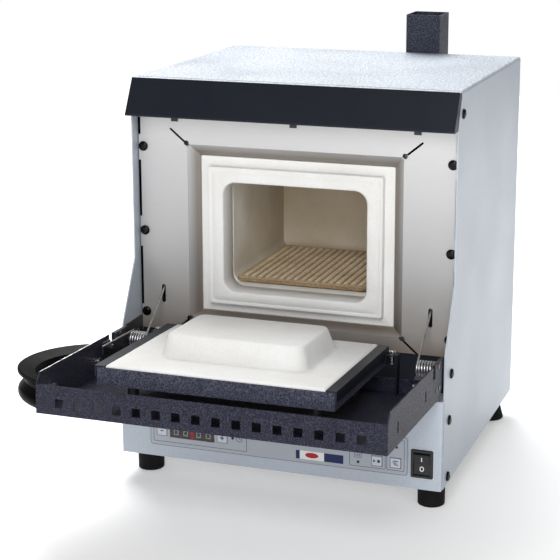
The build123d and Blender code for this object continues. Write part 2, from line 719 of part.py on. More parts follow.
with BuildPart() as inner_case:
    fill(-151.4, 151.4, 11.4, 265.4, 124.6, 379.4)
    fill(-150.2, 150.2, 12.4, 264.2, 125.8, 378.2, mode=Mode.SUBTRACT)
    fill(-118.0, 118.0, 10, 14, 157.0, 346.0, mode=Mode.SUBTRACT)
    with BuildSketch(at_y(267)):
        with Locations((CHIMNEY_X, TUBE_Z)):
            Circle(8.4)
        with Locations(THERMO):
            Circle(3.8)
    extrude(amount=5, mode=Mode.SUBTRACT)
    for x in (-120, 120):
        for y in (50, 230):
            fill(x - 12, x + 12, y - 12, y + 12, 1.2, 2.4)
            fill(x - 12, x - 10.5, y - 12, y + 12, 2.4, 124.6)
inner_case.part.label = "inner_case"
export_step(inner_case.part.moved(TO_BENCH), "parts/inner_case.step")

with BuildPart() as exhaust_tube:
    with BuildSketch(at_y(312.0)):
        with Locations((CHIMNEY_X, TUBE_Z)):
            Circle(8.0)
            Circle(5.5, mode=Mode.SUBTRACT)
    extrude(amount=312.0 - 208.0)
exhaust_tube.part.label = "exhaust_tube"
export_step(exhaust_tube.part.moved(TO_BENCH), "parts/exhaust_tube.step")

with BuildPart() as thermocouple:
    with BuildSketch(at_y(266.0)):
        with Locations(THERMO):
            Circle(3.2)
    extrude(amount=266.0 - 178.0)
    fillet(thermocouple.edges().filter_by(GeomType.CIRCLE).group_by(Axis.Y)[0], radius=2.6)
    with BuildSketch(at_y(286.0)):
        with Locations(THERMO):
            Rectangle(24, 16)
    extrude(amount=20)
    fillet(thermocouple.edges().filter_by(Axis.Y), radius=3)
thermocouple.part.label = "thermocouple"
export_step(thermocouple.part.moved(TO_BENCH), "parts/thermocouple.step")

# ---------------------------------------------------------------- chimney and mains parts

CHIMNEY_TOP = 478.5

with BuildPart() as chimney:
    fill(CHIMNEY_X - 21.8, CHIMNEY_X + 21.8, CASE_D, CASE_D + 47, 264, CHIMNEY_TOP)
    fillet(chimney.edges().filter_by(Axis.Z), radius=1.5)
    x0, x1 = CHIMNEY_X - 20.3, CHIMNEY_X + 20.3
    fill(x0, x1, CASE_D + 1.5, CASE_D + 45.5, 265.5, CHIMNEY_TOP + 1, mode=Mode.SUBTRACT)
    for side in (-1, 1):
        inner = CHIMNEY_X + side * 21.4
        outer = CHIMNEY_X + side * 33.0
        fill(min(inner, outer), max(inner, outer), CASE_D, CASE_D + 1.5, 264, 428)
    with BuildSketch(at_y(CASE_D + 2)):
        with Locations((CHIMNEY_X, TUBE_Z)):
            Circle(8.2)
        with Locations(*CHIMNEY_SCREWS):
            Circle(1.7)
    extrude(amount=3, mode=Mode.SUBTRACT)
chimney.part.label = "chimney"
export_step(chimney.part.moved(TO_BENCH), "parts/chimney.step")

with BuildPart() as mains_inlet:
    with BuildSketch(at_y(CASE_D - 0.8)):
        with Locations(INLET):
            RectangleRounded(31, 24, 2)
    extrude(amount=-2.4)
    fill(INLET[0] - 13.9, INLET[0] + 13.9, 283, CASE_D - 0.8, INLET[1] - 10.4, INLET[1] + 10.4)
    with BuildSketch(at_y(CASE_D + 2)):
        with BuildLine():
            x0, z0 = INLET
            Polyline(
                (x0 - 12.0, z0 - 8.0),
                (x0 + 12.0, z0 - 8.0),
                (x0 + 12.0, z0 + 4.0),
                (x0 + 7.5, z0 + 8.0),
                (x0 - 7.5, z0 + 8.0),
                (x0 - 12.0, z0 + 4.0),
                close=True,
            )
        make_face()
    extrude(amount=18, mode=Mode.SUBTRACT)
    for dx, dz in ((-7.0, -2.0), (7.0, -2.0), (0.0, 2.0)):
        fill(x0 + dx - 1.0, x0 + dx + 1.0, 289, 302, z0 + dz - 2.0, z0 + dz + 2.0)
        fill(x0 + dx - 0.4, x0 + dx + 0.4, 275, 283, z0 + dz - 3.0, z0 + dz + 3.0)
mains_inlet.part.label = "mains_inlet"
export_step(mains_inlet.part.moved(TO_BENCH), "parts/mains_inlet.step")

with BuildPart() as terminal_block:
    fill(-181, -135, 214, 236, 1.2, 22)
    for i in range(4):
        fill(-178.5 + 11 * i, -171.5 + 11 * i, 222, 228, 15, 23, mode=Mode.SUBTRACT)
terminal_block.part.label = "terminal_block"
export_step(terminal_block.part.moved(TO_BENCH), "parts/terminal_block.step")

with BuildPart() as power_relay:
    fill(-60, 20, 252, 300, 2.4, 5.4)
    for i in range(9):
        fill(-60 + 9.6 * i, -56.8 + 9.6 * i, 252, 300, 5.4, 26)
    fill(-44, 4, 228, 251.6, 2.4, 34)
    fill(-60, 20, 251.0, 253.0, 2.4, 30)
power_relay.part.label = "power_relay"
export_step(power_relay.part.moved(TO_BENCH), "parts/power_relay.step")

with BuildPart() as transformer:
    fill(52, 102, 222, 266, 1.2, 5.0)
    fill(56, 98, 226, 262, 5.0, 40.0)
    fill(62, 92, 222, 266, 12.0, 33.0)
transformer.part.label = "transformer"
export_step(transformer.part.moved(TO_BENCH), "parts/transformer.step")

# ---------------------------------------------------------------- hinge, on the casing

with BuildPart() as hinge_brackets:
    for side in (-1, 1):
        outer = side * 188.4
        inner = side * 186.9
        fill(min(inner, outer), max(inner, outer), -46, -3, 108, 150)
        with BuildSketch(Plane.YZ.offset(min(inner, outer) - 1)):
            with Locations((AXIS_Y, AXIS_Z)):
                Circle(3.0)
            with Locations(SIDE_SCREWS[1]):
                Circle(2.2)
        extrude(amount=4, mode=Mode.SUBTRACT)
hinge_brackets.part.label = "hinge_brackets"
export_step(hinge_brackets.part.moved(TO_BENCH), "parts/hinge_brackets.step")

with BuildPart() as hinge_pins:
    for side in (-1, 1):
        pin_plane = Plane(origin=(side * 188.4, 0, 0), x_dir=(0, 1, 0), z_dir=(1, 0, 0))
        with BuildSketch(pin_plane):
            with Locations((AXIS_Y, AXIS_Z)):
                Circle(3.0)
        extrude(amount=-side * 8.0)
        with BuildSketch(pin_plane.offset(-side * 1.5)):
            with Locations((AXIS_Y, AXIS_Z)):
                Circle(4.0)
        extrude(amount=-side * 4.6)
        with BuildSketch(pin_plane.offset(-side * 5.8)):
            with Locations((AXIS_Y, AXIS_Z)):
                Circle(6.5)
        extrude(amount=-side * 2.2)
hinge_pins.part.label = "hinge_pins"
export_step(hinge_pins.part.moved(TO_BENCH), "parts/hinge_pins.step")

# ---------------------------------------------------------------- door

HANDLE_SCREWS = [(97.4, -8.5), (205.2, -8.5)]
ARM_RIVETS = [(45.0, 10.4), (40.0, -14.0), (52.0, -14.0)]

with BuildPart() as door_tray:
    door_fill(-TRAY_HALF_W, TRAY_HALF_W, TRAY_REAR, TRAY_LIP, TRAY_FLOOR, TRAY_FLOOR + SHEET)
    for x in (-TRAY_HALF_W + SHEET, TRAY_HALF_W):
        with BuildSketch(door_side(x)):
            with BuildLine():
                Polyline(
                    (29.0, WALL_TOP),
                    (TRAY_LIP - 6.5, WALL_TOP),
                    (TRAY_LIP, LIP_TOP),
                    (TRAY_LIP, TRAY_FLOOR),
                    (TRAY_REAR, TRAY_FLOOR),
                    (29.0, -18.0),
                    close=True,
                )
            make_face()
            with Locations((64.0, 8.5)):
                Rectangle(8.8, 15.0, mode=Mode.SUBTRACT)
            with Locations(*HANDLE_SCREWS):
                SlotOverall(12.5, 4.4, rotation=90, mode=Mode.SUBTRACT)
            with Locations(*ARM_RIVETS):
                Circle(1.7, mode=Mode.SUBTRACT)
        extrude(amount=SHEET)
    door_fill(-TRAY_HALF_W, TRAY_HALF_W, TRAY_LIP - SHEET, TRAY_LIP, TRAY_FLOOR, LIP_TOP)
    door_fill(-180.0, 180.0, TRAY_REAR, TRAY_REAR + SHEET, TRAY_FLOOR, -10.0)
    with BuildSketch(door_front(TRAY_LIP - 5)):
        with Locations((0, -14.4)):
            with GridLocations(21.5, 1, 16, 1):
                Rectangle(9.5, 9.5)
    extrude(amount=10, mode=Mode.SUBTRACT)
door_tray.part.label = "door_tray"
export_step(door_tray.part.moved(TO_BENCH), "parts/door_tray.step")

with BuildPart() as hinge_arms:
    for x in (-183.5, 185.9):
        with BuildSketch(door_side(x)):
            Circle(11.0)
            with BuildLine():
                Polyline((-1, 10.95), (29, 14.4), (57, 14.4), (57, -20), (30, -20), (0, -11), close=True)
            make_face()
            Circle(4.06, mode=Mode.SUBTRACT)
            with Locations(*ARM_RIVETS):
                Circle(1.7, mode=Mode.SUBTRACT)
        extrude(amount=2.4)
hinge_arms.part.label = "hinge_arms"
export_step(hinge_arms.part.moved(TO_BENCH), "parts/hinge_arms.step")

with BuildPart() as arm_rivets:
    for u, w in ARM_RIVETS:
        for x0, x1, radius in ((182.1, 183.5, 3.0), (183.5, 187.5, 1.6), (187.5, 188.0, 3.0)):
            door_pin(x0, x1, u, w, radius)
            door_pin(-x1, -x0, u, w, radius)
arm_rivets.part.label = "arm_rivets"
export_step(arm_rivets.part.moved(TO_BENCH), "parts/arm_rivets.step")

with BuildPart() as door_pan:
    door_fill(-PAN_HALF_W, PAN_HALF_W, PAN_U[0], PAN_U[1], PAN_W[0], PAN_W[1])
    upright = door_pan.edges().filter_by(lambda e: abs(e.length - (PAN_W[1] - PAN_W[0])) < 0.01)
    fillet(upright, radius=2.0)
    door_fill(-126.8, 126.8, PAN_U[0] + 1.2, PAN_U[1] - 1.2, PAN_W[0] + 1.2, PAN_W[1] + 1, mode=Mode.SUBTRACT)
door_pan.part.label = "door_pan"
export_step(door_pan.part.moved(TO_BENCH), "parts/door_pan.step")

with BuildPart() as retaining_rails:
    for side in (-1, 1):
        x0, x1 = sorted((side * RAIL_INNER, side * 128.2))
        door_fill(x0, x1, PAN_U[0] + 0.5, PAN_U[1] - 0.5, 23.8, 25.2)
        x0, x1 = sorted((side * 128.2, side * 129.6))
        door_fill(x0, x1, PAN_U[0] + 0.5, PAN_U[1] - 0.5, 14.0, 25.2)
retaining_rails.part.label = "retaining_rails"
export_step(retaining_rails.part.moved(TO_BENCH), "parts/retaining_rails.step")

with BuildPart() as door_insulation:
    door_fill(-126.4, 126.4, PAN_U[0] + 1.6, PAN_U[1] - 1.6, PAN_W[0] + 1.4, 23.6)
    door_fill(-117.8, 117.8, PAN_U[0] + 1.6, PAN_U[1] - 1.6, 23.6, SLAB_TOP)
    with BuildSketch(door.offset(SLAB_TOP)):
        with Locations((0, -117.5)):
            RectangleRounded(162, 115, 14)
    with BuildSketch(door.offset(PLUG_TOP)):
        with Locations((0, -119.25)):
            RectangleRounded(149, 94.5, 10)
    loft()
    plug_rim = door_insulation.faces().sort_by(Axis.Z)[-1].edges()
    fillet(plug_rim, radius=3.5)
door_insulation.part.label = "door_insulation"
export_step(door_insulation.part.moved(TO_BENCH), "parts/door_insulation.step")

with BuildPart() as pan_spacers:
    for x in (-100, 100):
        for u in (62, 192):
            door_stud(x, u, TRAY_FLOOR + SHEET, PAN_W[0], 6.0)
pan_spacers.part.label = "pan_spacers"
export_step(pan_spacers.part.moved(TO_BENCH), "parts/pan_spacers.step")

CLIP_SPOTS = [(-136.0, 44.5), (136.0, 44.5)]

with BuildPart() as pan_clips:
    for x, u in CLIP_SPOTS:
        side = 1 if x > 0 else -1
        x0, x1 = sorted((side * 129.8, side * 143.0))
        door_fill(x0, x1, u - 6, u + 6, 17.4, 18.8)
        x0, x1 = sorted((side * 129.8, side * 131.2))
        door_fill(x0, x1, u - 6, u + 6, 8.0, 17.4)
        x0, x1 = sorted((side * 141.6, side * 143.0))
        door_fill(x0, x1, u - 6, u + 6, TRAY_FLOOR + SHEET, 17.4)
        door_stud(x, u, 14.0, 20.0, 2.6, mode=Mode.SUBTRACT)
pan_clips.part.label = "pan_clips"
export_step(pan_clips.part.moved(TO_BENCH), "parts/pan_clips.step")

with BuildPart() as clip_bolts:
    for x, u in CLIP_SPOTS:
        door_stud(x, u, 8.0, 22.4, 2.4)
        with BuildSketch(door.offset(18.8)):
            with Locations((x, -u)):
                RegularPolygon(4.4, 6)
        extrude(amount=3.2)
        door_stud(x, u, 15.6, 17.4, 4.2)
clip_bolts.part.label = "clip_bolts"
export_step(clip_bolts.part.moved(TO_BENCH), "parts/clip_bolts.step")

with BuildPart() as spring_posts:
    for side in (-1, 1):
        x0, x1 = sorted((side * 158.0, side * 183.4))
        door_pin(x0, x1, COIL_U, 0.0, 5.6)
        x0, x1 = sorted((side * 172.5, side * 183.4))
        door_pin(x0, x1, 86.0, 6.4, 3.0)
        x0, x1 = sorted((side * 181.9, side * 183.4))
        door_fill(x0, x1, 15.0, 74.0, -6.5, 6.6)
        door_fill(x0, x1, 74.0, 92.0, -2.0, 11.0)
spring_posts.part.label = "spring_posts"
export_step(spring_posts.part.moved(TO_BENCH), "parts/spring_posts.step")

with BuildPart() as spring_arms:
    for side in (-1, 1):
        with BuildSketch(door_front(COIL_U + 2)):
            with Locations((side * 176.2, COIL_R + 3.4)):
                Circle(WIRE_R)
        extrude(amount=82.0)
spring_arms.part.label = "spring_arms"
export_step(spring_arms.part.moved(TO_BENCH), "parts/spring_arms.step")

COIL_Y = AXIS_Y - COIL_U * COS_T
COIL_Z = AXIS_Z + COIL_U * SIN_T
LEG_DIR = (0, cos(radians(LEG_ANGLE)), sin(radians(LEG_ANGLE)))
LEG_OFF = (0, -COIL_R * sin(radians(LEG_ANGLE)), COIL_R * cos(radians(LEG_ANGLE)))

with BuildPart() as door_springs:
    for side in (-1, 1):
        coil = Helix(pitch=2.35, height=14.1, radius=COIL_R, direction=(side, 0, 0), lefthand=side < 0)
        coil = coil.moved(Location((side * LEG_X, COIL_Y, COIL_Z)))
        with BuildSketch(Plane(origin=coil @ 0, z_dir=coil % 0)):
            Circle(WIRE_R)
        sweep(path=coil)
        foot = (side * LEG_X, COIL_Y + LEG_OFF[1], COIL_Z + LEG_OFF[2])
        with BuildSketch(Plane(origin=foot, z_dir=LEG_DIR)):
            Circle(WIRE_R)
        extrude(amount=75.0)
door_springs.part.label = "door_springs"
export_step(door_springs.part.moved(TO_BENCH), "parts/door_springs.step")

with BuildPart() as handle:
    handle_axis = Plane(
        origin=door.from_local_coords((HANDLE_X, -HANDLE_U, 0)),
        x_dir=(-1, 0, 0),
        z_dir=(0, COS_T, -SIN_T),
    )
    with BuildSketch(handle_axis):
        with BuildLine():
            Polyline((85.6, 5.0), (87.4, 4.0), (87.4, 1.6))
            ThreePointArc((87.4, 1.6), (82.4, -2.4), (80.4, -8.0))
            ThreePointArc((80.4, -8.0), (83.4, -12.2), (86.4, -16.0))
            ThreePointArc((86.4, -16.0), (86.2, -24.0), (78.0, -28.4))
            Polyline((78.0, -28.4), (24.0, -28.4), (24.0, -25.4), (62.0, -25.4))
            Polyline((62.0, -25.4), (64.5, -22.0), (65.5, -4.0), (68.5, 0.4), (85.6, 5.0))
        make_face()
    revolve(axis=Axis(handle_axis.origin, handle_axis.y_dir), revolution_arc=360)
    door_fill(-190.8, 0, 0, 330, -60, 60, mode=Mode.SUBTRACT)
    door_fill(-191.2, -187.7, 79.0, 224.0, -28.4, 2.0)
    for u, w in HANDLE_SCREWS:
        door_pin(-198, -187, u, w, 2.2, mode=Mode.SUBTRACT)
handle.part.label = "handle"
export_step(handle.part.moved(TO_BENCH), "parts/handle.step")

with BuildPart() as handle_screws:
    for u, w in HANDLE_SCREWS:
        door_pin(-196.5, -186.0, u, w, 2.0)
        door_pin(-186.0, -183.0, u, w, 4.2)
handle_screws.part.label = "handle_screws"
export_step(handle_screws.part.moved(TO_BENCH), "parts/handle_screws.step")
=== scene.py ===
"""Looks for the benchtop kiln: materials, soft and printed pieces, studio and camera."""

import json
import math

import bpy
from mathutils import Euler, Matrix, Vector, noise


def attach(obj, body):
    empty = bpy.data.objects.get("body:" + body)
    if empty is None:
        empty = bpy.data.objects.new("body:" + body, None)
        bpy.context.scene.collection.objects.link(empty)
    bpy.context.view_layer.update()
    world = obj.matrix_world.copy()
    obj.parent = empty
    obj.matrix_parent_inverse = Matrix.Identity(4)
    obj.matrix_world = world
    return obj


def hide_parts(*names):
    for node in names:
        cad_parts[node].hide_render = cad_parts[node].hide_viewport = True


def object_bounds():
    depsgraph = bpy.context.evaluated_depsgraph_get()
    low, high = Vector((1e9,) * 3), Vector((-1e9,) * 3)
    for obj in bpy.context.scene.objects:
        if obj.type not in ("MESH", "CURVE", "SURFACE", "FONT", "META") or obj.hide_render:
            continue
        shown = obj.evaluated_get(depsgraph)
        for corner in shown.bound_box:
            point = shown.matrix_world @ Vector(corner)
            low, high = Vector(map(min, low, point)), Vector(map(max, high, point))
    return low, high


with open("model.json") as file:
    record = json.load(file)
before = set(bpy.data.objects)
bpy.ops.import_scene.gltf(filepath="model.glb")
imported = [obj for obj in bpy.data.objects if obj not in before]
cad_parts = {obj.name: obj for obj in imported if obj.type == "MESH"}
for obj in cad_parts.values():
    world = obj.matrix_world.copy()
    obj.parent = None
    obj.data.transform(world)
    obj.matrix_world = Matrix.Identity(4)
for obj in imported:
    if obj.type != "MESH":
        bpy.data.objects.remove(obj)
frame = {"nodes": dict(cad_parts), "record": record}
cad_low, cad_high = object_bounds()
scene = bpy.context.scene
MM = 0.001

# ------------------------------------------------------------------ shared places, in mm

# the door's axis and its slight tilt when open, and the casing's offset from the row's origin
TO_BENCH = Vector((26.0, -42.0, 29.0))
AXIS_Y = -28.0
AXIS_Z = 134.5
TILT = math.radians(2.4)

# depths of the printed faces, and the centres of the keys and the switch
OVERLAY_Y = -61.3
KEY_FACE_Y = -61.8
DISPLAY_FACE_Y = -61.2
BEZEL_FACE_Y = -60.55
PRINT_DEPTH = Vector((0, -0.00006, 0))
KEYS = {"minus": (-139.1, 32.0), "plus": (-65.0, 32.0), "start": (117.2, 27.4), "program": (138.5, 27.8)}
SWITCH = (168.2, 30.2)

# door springs: the coil's place, size and winding, and the straight leg that leaves it
COIL_U = 23.0
COIL_X = 159.5
COIL_R = 8.3
COIL_PITCH = 3.05
COIL_TURNS = 6.5
LEG_R = 7.4
LEG_LEAN = 38.4
LEG_LENGTH = 75.0
WIRE_R = 1.1

# corner and edge points of one round stretch, and the faces of an eight-cornered block
RING_STEPS = 9
BLOCK_FACES = [(0, 3, 2, 1), (4, 5, 6, 7), (0, 1, 5, 4), (1, 2, 6, 5), (2, 3, 7, 6), (3, 0, 4, 7)]


def door(x, u, w):
    """Door coordinates (across, outwards, up), in mm, to the row frame in metres."""
    y = AXIS_Y - u * math.cos(TILT) + w * math.sin(TILT)
    z = AXIS_Z + u * math.sin(TILT) + w * math.cos(TILT)
    return kiln(x, y, z)


def kiln(x, y, z):
    """Kiln coordinates in mm, with the mouth plane at y = 0 and the casing's underside at
    z = 0, to the row frame in metres."""
    return (Vector((x, y, z)) + TO_BENCH) * MM


# ------------------------------------------------------------------ node helpers


class Nodes:
    """A material's node tree, with short ways to add and link nodes."""

    def __init__(self, name):
        self.material = bpy.data.materials.new(name)
        self.material.use_nodes = True
        self.tree = self.material.node_tree
        self.shader = self.tree.nodes["Principled BSDF"]
        self.coords = self.add("ShaderNodeTexCoord").outputs["Object"]

    def add(self, kind, **values):
        node = self.tree.nodes.new(kind)
        for key, value in values.items():
            if hasattr(node, key):
                setattr(node, key, value)
            else:
                node.inputs[key.replace("_", " ")].default_value = value
        return node

    def link(self, a, b):
        self.tree.links.new(a, b)

    def stretched(self, scale):
        mapping = self.add("ShaderNodeMapping")
        mapping.inputs["Scale"].default_value = scale
        self.link(self.coords, mapping.inputs["Vector"])
        return mapping.outputs["Vector"]

    def noise(self, scale, detail=3.0, vector=None, rough=0.55, distortion=0.0):
        node = self.add("ShaderNodeTexNoise")
        node.inputs["Scale"].default_value = scale
        node.inputs["Detail"].default_value = detail
        node.inputs["Roughness"].default_value = rough
        node.inputs["Distortion"].default_value = distortion
        self.link(vector or self.coords, node.inputs["Vector"])
        return node.outputs["Fac"]

    def voronoi(self, scale):
        node = self.add("ShaderNodeTexVoronoi")
        node.inputs["Scale"].default_value = scale
        self.link(self.coords, node.inputs["Vector"])
        return node.outputs["Distance"]

    def ramp(self, value, stops):
        node = self.add("ShaderNodeValToRGB")
        elements = node.color_ramp.elements
        while len(elements) < len(stops):
            elements.new(0.5)
        for element, (position, colour) in zip(elements, stops):
            element.position = position
            element.color = (*colour, 1.0) if len(colour) == 3 else colour
        self.link(value, node.inputs["Fac"])
        return node.outputs["Color"]

    def spread(self, value, low, high, start=0.0, end=1.0):
        node = self.add("ShaderNodeMapRange")
        node.inputs["From Min"].default_value = start
        node.inputs["From Max"].default_value = end
        node.inputs["To Min"].default_value = low
        node.inputs["To Max"].default_value = high
        self.link(value, node.inputs["Value"])
        return node.outputs["Result"]

    def multiply(self, a, b):
        node = self.add("ShaderNodeMix", data_type="RGBA", blend_type="MULTIPLY")
        node.inputs["Factor"].default_value = 1.0
        self.link(a, node.inputs["A"])
        self.link(b, node.inputs["B"])
        return node.outputs["Result"]

    def bump(self, height, distance, strength=1.0, normal=None):
        node = self.add("ShaderNodeBump")
        node.inputs["Strength"].default_value = strength
        node.inputs["Distance"].default_value = distance
        self.link(height, node.inputs["Height"])
        if normal is not None:
            self.link(normal, node.inputs["Normal"])
        return node.outputs["Normal"]

    def set(self, **values):
        for key, value in values.items():
            self.shader.inputs[key.replace("_", " ")].default_value = value

    def drive(self, **values):
        for key, value in values.items():
            self.link(value, self.shader.inputs[key.replace("_", " ")])


def shade(colour, factor):
    """A colour made lighter or darker."""
    return tuple(min(1.0, c * factor) for c in colour)


# ------------------------------------------------------------------ materials


def powder_coat(name, colour, grain=0.10, rough=0.42, bump=0.00012, scale=1500.0, shine=0.45, painted_glint=0.0):
    """Fine orange-peel powder coat with slight cloudiness; optional painted glints, lighter and darker
    speckle painted only where it faces up.
    """
    m = Nodes(name)
    fine = m.noise(scale, 2.0)
    cloud = m.noise(9.0, 3.0)
    dark, light = shade(colour, 1 - grain), shade(colour, 1 + grain * 0.5)
    speck = m.ramp(fine, [(0.36, dark), (0.56, colour), (0.72, light)])
    tint = m.ramp(cloud, [(0.3, (0.965, 0.97, 0.98)), (0.7, (1.0, 1.0, 1.0))])
    base = m.multiply(speck, tint)
    if painted_glint:
        # painted glints: light and dark speckle painted on upward faces only, standing in for the top light
        # glancing off them
        parts = m.add("ShaderNodeSeparateXYZ")
        m.link(m.add("ShaderNodeNewGeometry").outputs["Normal"], parts.inputs["Vector"])
        upward = m.spread(parts.outputs["Z"], 0.0, 1.0, 0.6, 0.95)
        coarse = m.noise(scale * 0.42, 1.0)
        painted_glint_spots = m.ramp(coarse, [(0.40, (1 - painted_glint,) * 3), (0.62, (1 + painted_glint * 0.6,) * 3)])
        blend = m.add("ShaderNodeMix", data_type="RGBA")
        m.link(upward, blend.inputs["Factor"])
        blend.inputs["A"].default_value = (1, 1, 1, 1)
        m.link(painted_glint_spots, blend.inputs["B"])
        base = m.multiply(base, blend.outputs["Result"])
    m.drive(Base_Color=base)
    m.drive(Roughness=m.spread(cloud, rough - 0.05, rough + 0.07, 0.3, 0.7))
    m.drive(Normal=m.bump(fine, bump))
    m.set(Specular_IOR_Level=shine)
    return m.material


def hammer_finish(name, low, mid, high, rough=0.38, scale=640.0, bump=0.0026):
    """Hammertone enamel: shallow pebbled cells with darker valleys and lighter tops, partly the enamel's own
    mottle and partly painted shade.
    """
    m = Nodes(name)
    cells = m.noise(scale, 1.5, None, 0.45, 0.5)
    fine = m.noise(scale * 2.7, 1.0)
    cloud = m.noise(14.0, 3.0)
    # colour follows the same cells as the bump: part mottle, part painted shade in the valleys
    pebbles = m.ramp(cells, [(0.38, low), (0.52, mid), (0.66, high)])
    tint = m.ramp(cloud, [(0.3, (0.86, 0.86, 0.88)), (0.7, (1.0, 1.0, 1.0))])
    m.drive(Base_Color=m.multiply(pebbles, tint))
    m.drive(Roughness=m.spread(fine, rough - 0.08, rough + 0.12, 0.3, 0.7))
    m.drive(Normal=m.bump(fine, bump * 0.25, 1.0, m.bump(cells, bump)))
    m.set(Specular_IOR_Level=0.3)
    return m.material


def brushed_metal(name, colour, along, rough, metallic=1.0):
    """Metal with fine straight lines and faint handling clouds."""
    m = Nodes(name)
    lines = m.noise(1.0, 3.0, m.stretched(along), 0.6)
    cloud = m.noise(7.0, 4.0, None, 0.6)
    base = m.ramp(lines, [(0.3, shade(colour, 0.9)), (0.7, shade(colour, 1.1))])
    tint = m.ramp(cloud, [(0.3, (0.94, 0.93, 0.92)), (0.68, (1.0, 1.0, 1.0))])
    m.drive(Base_Color=m.multiply(base, tint))
    m.drive(Roughness=m.spread(cloud, rough - 0.05, rough + 0.08, 0.3, 0.7))
    m.drive(Normal=m.bump(lines, 0.00003))
    m.set(Metallic=metallic)
    return m.material


def heat_tint_and_shade_sheet(name):
    """Satin stainless sheet, straw-brown and darker near its foot and inside the funnel, partly heat tint and
    partly painted shade, and brighter towards its top as painted light.
    """
    foot, top = 0.165, 0.40
    funnel_front, funnel_back = -0.0425, -0.0365
    m = Nodes(name)
    lines = m.noise(1.0, 2.0, m.stretched((60.0, 2600.0, 2600.0)), 0.6)
    cloud = m.noise(9.0, 4.0, None, 0.6)
    parts = m.add("ShaderNodeSeparateXYZ")
    m.link(m.coords, parts.inputs["Vector"])
    height = m.spread(parts.outputs["Z"], 0.0, 1.0, foot, top)
    brown, straw = (0.40, 0.345, 0.305), (0.50, 0.475, 0.455)
    grey, bright = (0.52, 0.52, 0.525), (0.63, 0.63, 0.635)
    # painted light: dark straw-brown at the foot, part heat tint and part painted shade, rising to a bright
    # top that is painted light
    tint = m.ramp(height, [(0.0, brown), (0.10, straw), (0.36, grey), (1.0, bright)])
    # darker into the funnel: part scorch, part painted shade in its recess
    depth = m.spread(parts.outputs["Y"], 0.0, 1.0, funnel_front, funnel_back)
    scorch_and_shade = m.ramp(depth, [(0.0, (1.0, 1.0, 1.0)), (1.0, (0.60, 0.55, 0.50))])
    grain = m.ramp(lines, [(0.3, (0.965, 0.965, 0.965)), (0.7, (1.0, 1.0, 1.0))])
    blotch = m.ramp(cloud, [(0.3, (0.95, 0.94, 0.93)), (0.68, (1.0, 1.0, 1.0))])
    m.drive(Base_Color=m.multiply(m.multiply(m.multiply(tint, scorch_and_shade), grain), blotch))
    m.drive(Roughness=m.spread(cloud, 0.54, 0.64, 0.3, 0.7))
    m.drive(Normal=m.bump(lines, 0.00001))
    m.set(Metallic=1.0)
    return m.material


def plated_metal(name, colour, rough=0.22):
    """Bright zinc plate with slight blotching."""
    m = Nodes(name)
    blotch = m.noise(160.0, 3.0)
    fine = m.noise(1800.0, 2.0)
    m.drive(Base_Color=m.ramp(blotch, [(0.3, shade(colour, 0.86)), (0.7, colour)]))
    m.drive(Roughness=m.spread(blotch, rough - 0.06, rough + 0.14, 0.3, 0.7))
    m.drive(Normal=m.bump(fine, 0.00002))
    m.set(Metallic=1.0)
    return m.material


def ceramic(name, colour, stain, rough=0.85, bump=0.00025, grain=900.0):
    """Vacuum-formed ceramic fibre: chalky, with soft dents and warm stains."""
    m = Nodes(name)
    fine = m.noise(grain, 4.0, None, 0.65)
    dents = m.noise(70.0, 3.0)
    cloud = m.noise(11.0, 4.0, None, 0.6)
    base = m.ramp(cloud, [(0.30, stain), (0.58, colour), (0.8, shade(colour, 1.03))])
    specks = m.ramp(fine, [(0.34, (0.90, 0.89, 0.87)), (0.5, (1.0, 1.0, 1.0))])
    m.drive(Base_Color=m.multiply(base, specks))
    m.drive(Roughness=m.spread(dents, rough - 0.06, rough + 0.08, 0.3, 0.7))
    m.drive(Normal=m.bump(fine, bump * 0.5, 1.0, m.bump(dents, bump * 2.0)))
    m.set(Specular_IOR_Level=0.2)
    return m.material


def chamber_lining(name):
    """Fired chamber wall, pale at the mouth and darker and browner towards the back as painted shade deep in
    the chamber.
    """
    mouth, back = -0.012, 0.165
    m = Nodes(name)
    fine = m.noise(900.0, 4.0, None, 0.65)
    cloud = m.noise(16.0, 4.0, None, 0.6)
    parts = m.add("ShaderNodeSeparateXYZ")
    m.link(m.coords, parts.inputs["Vector"])
    # painted shade: the colour darkens with depth from the mouth to the back of the chamber
    depth = m.spread(parts.outputs["Y"], 0.0, 1.0, mouth, back)
    pale, tan, shaded_brown = (0.78, 0.755, 0.71), (0.71, 0.665, 0.58), (0.60, 0.53, 0.425)
    brown = m.ramp(depth, [(0.0, pale), (0.35, tan), (1.0, shaded_brown)])
    mottle = m.ramp(cloud, [(0.3, (0.86, 0.83, 0.78)), (0.65, (1.0, 1.0, 1.0))])
    specks = m.ramp(fine, [(0.34, (0.90, 0.88, 0.85)), (0.5, (1.0, 1.0, 1.0))])
    m.drive(Base_Color=m.multiply(m.multiply(brown, mottle), specks))
    m.drive(Roughness=m.spread(cloud, 0.85, 0.97, 0.3, 0.7))
    m.drive(Normal=m.bump(fine, 0.0002))
    m.set(Specular_IOR_Level=0.2)
    return m.material


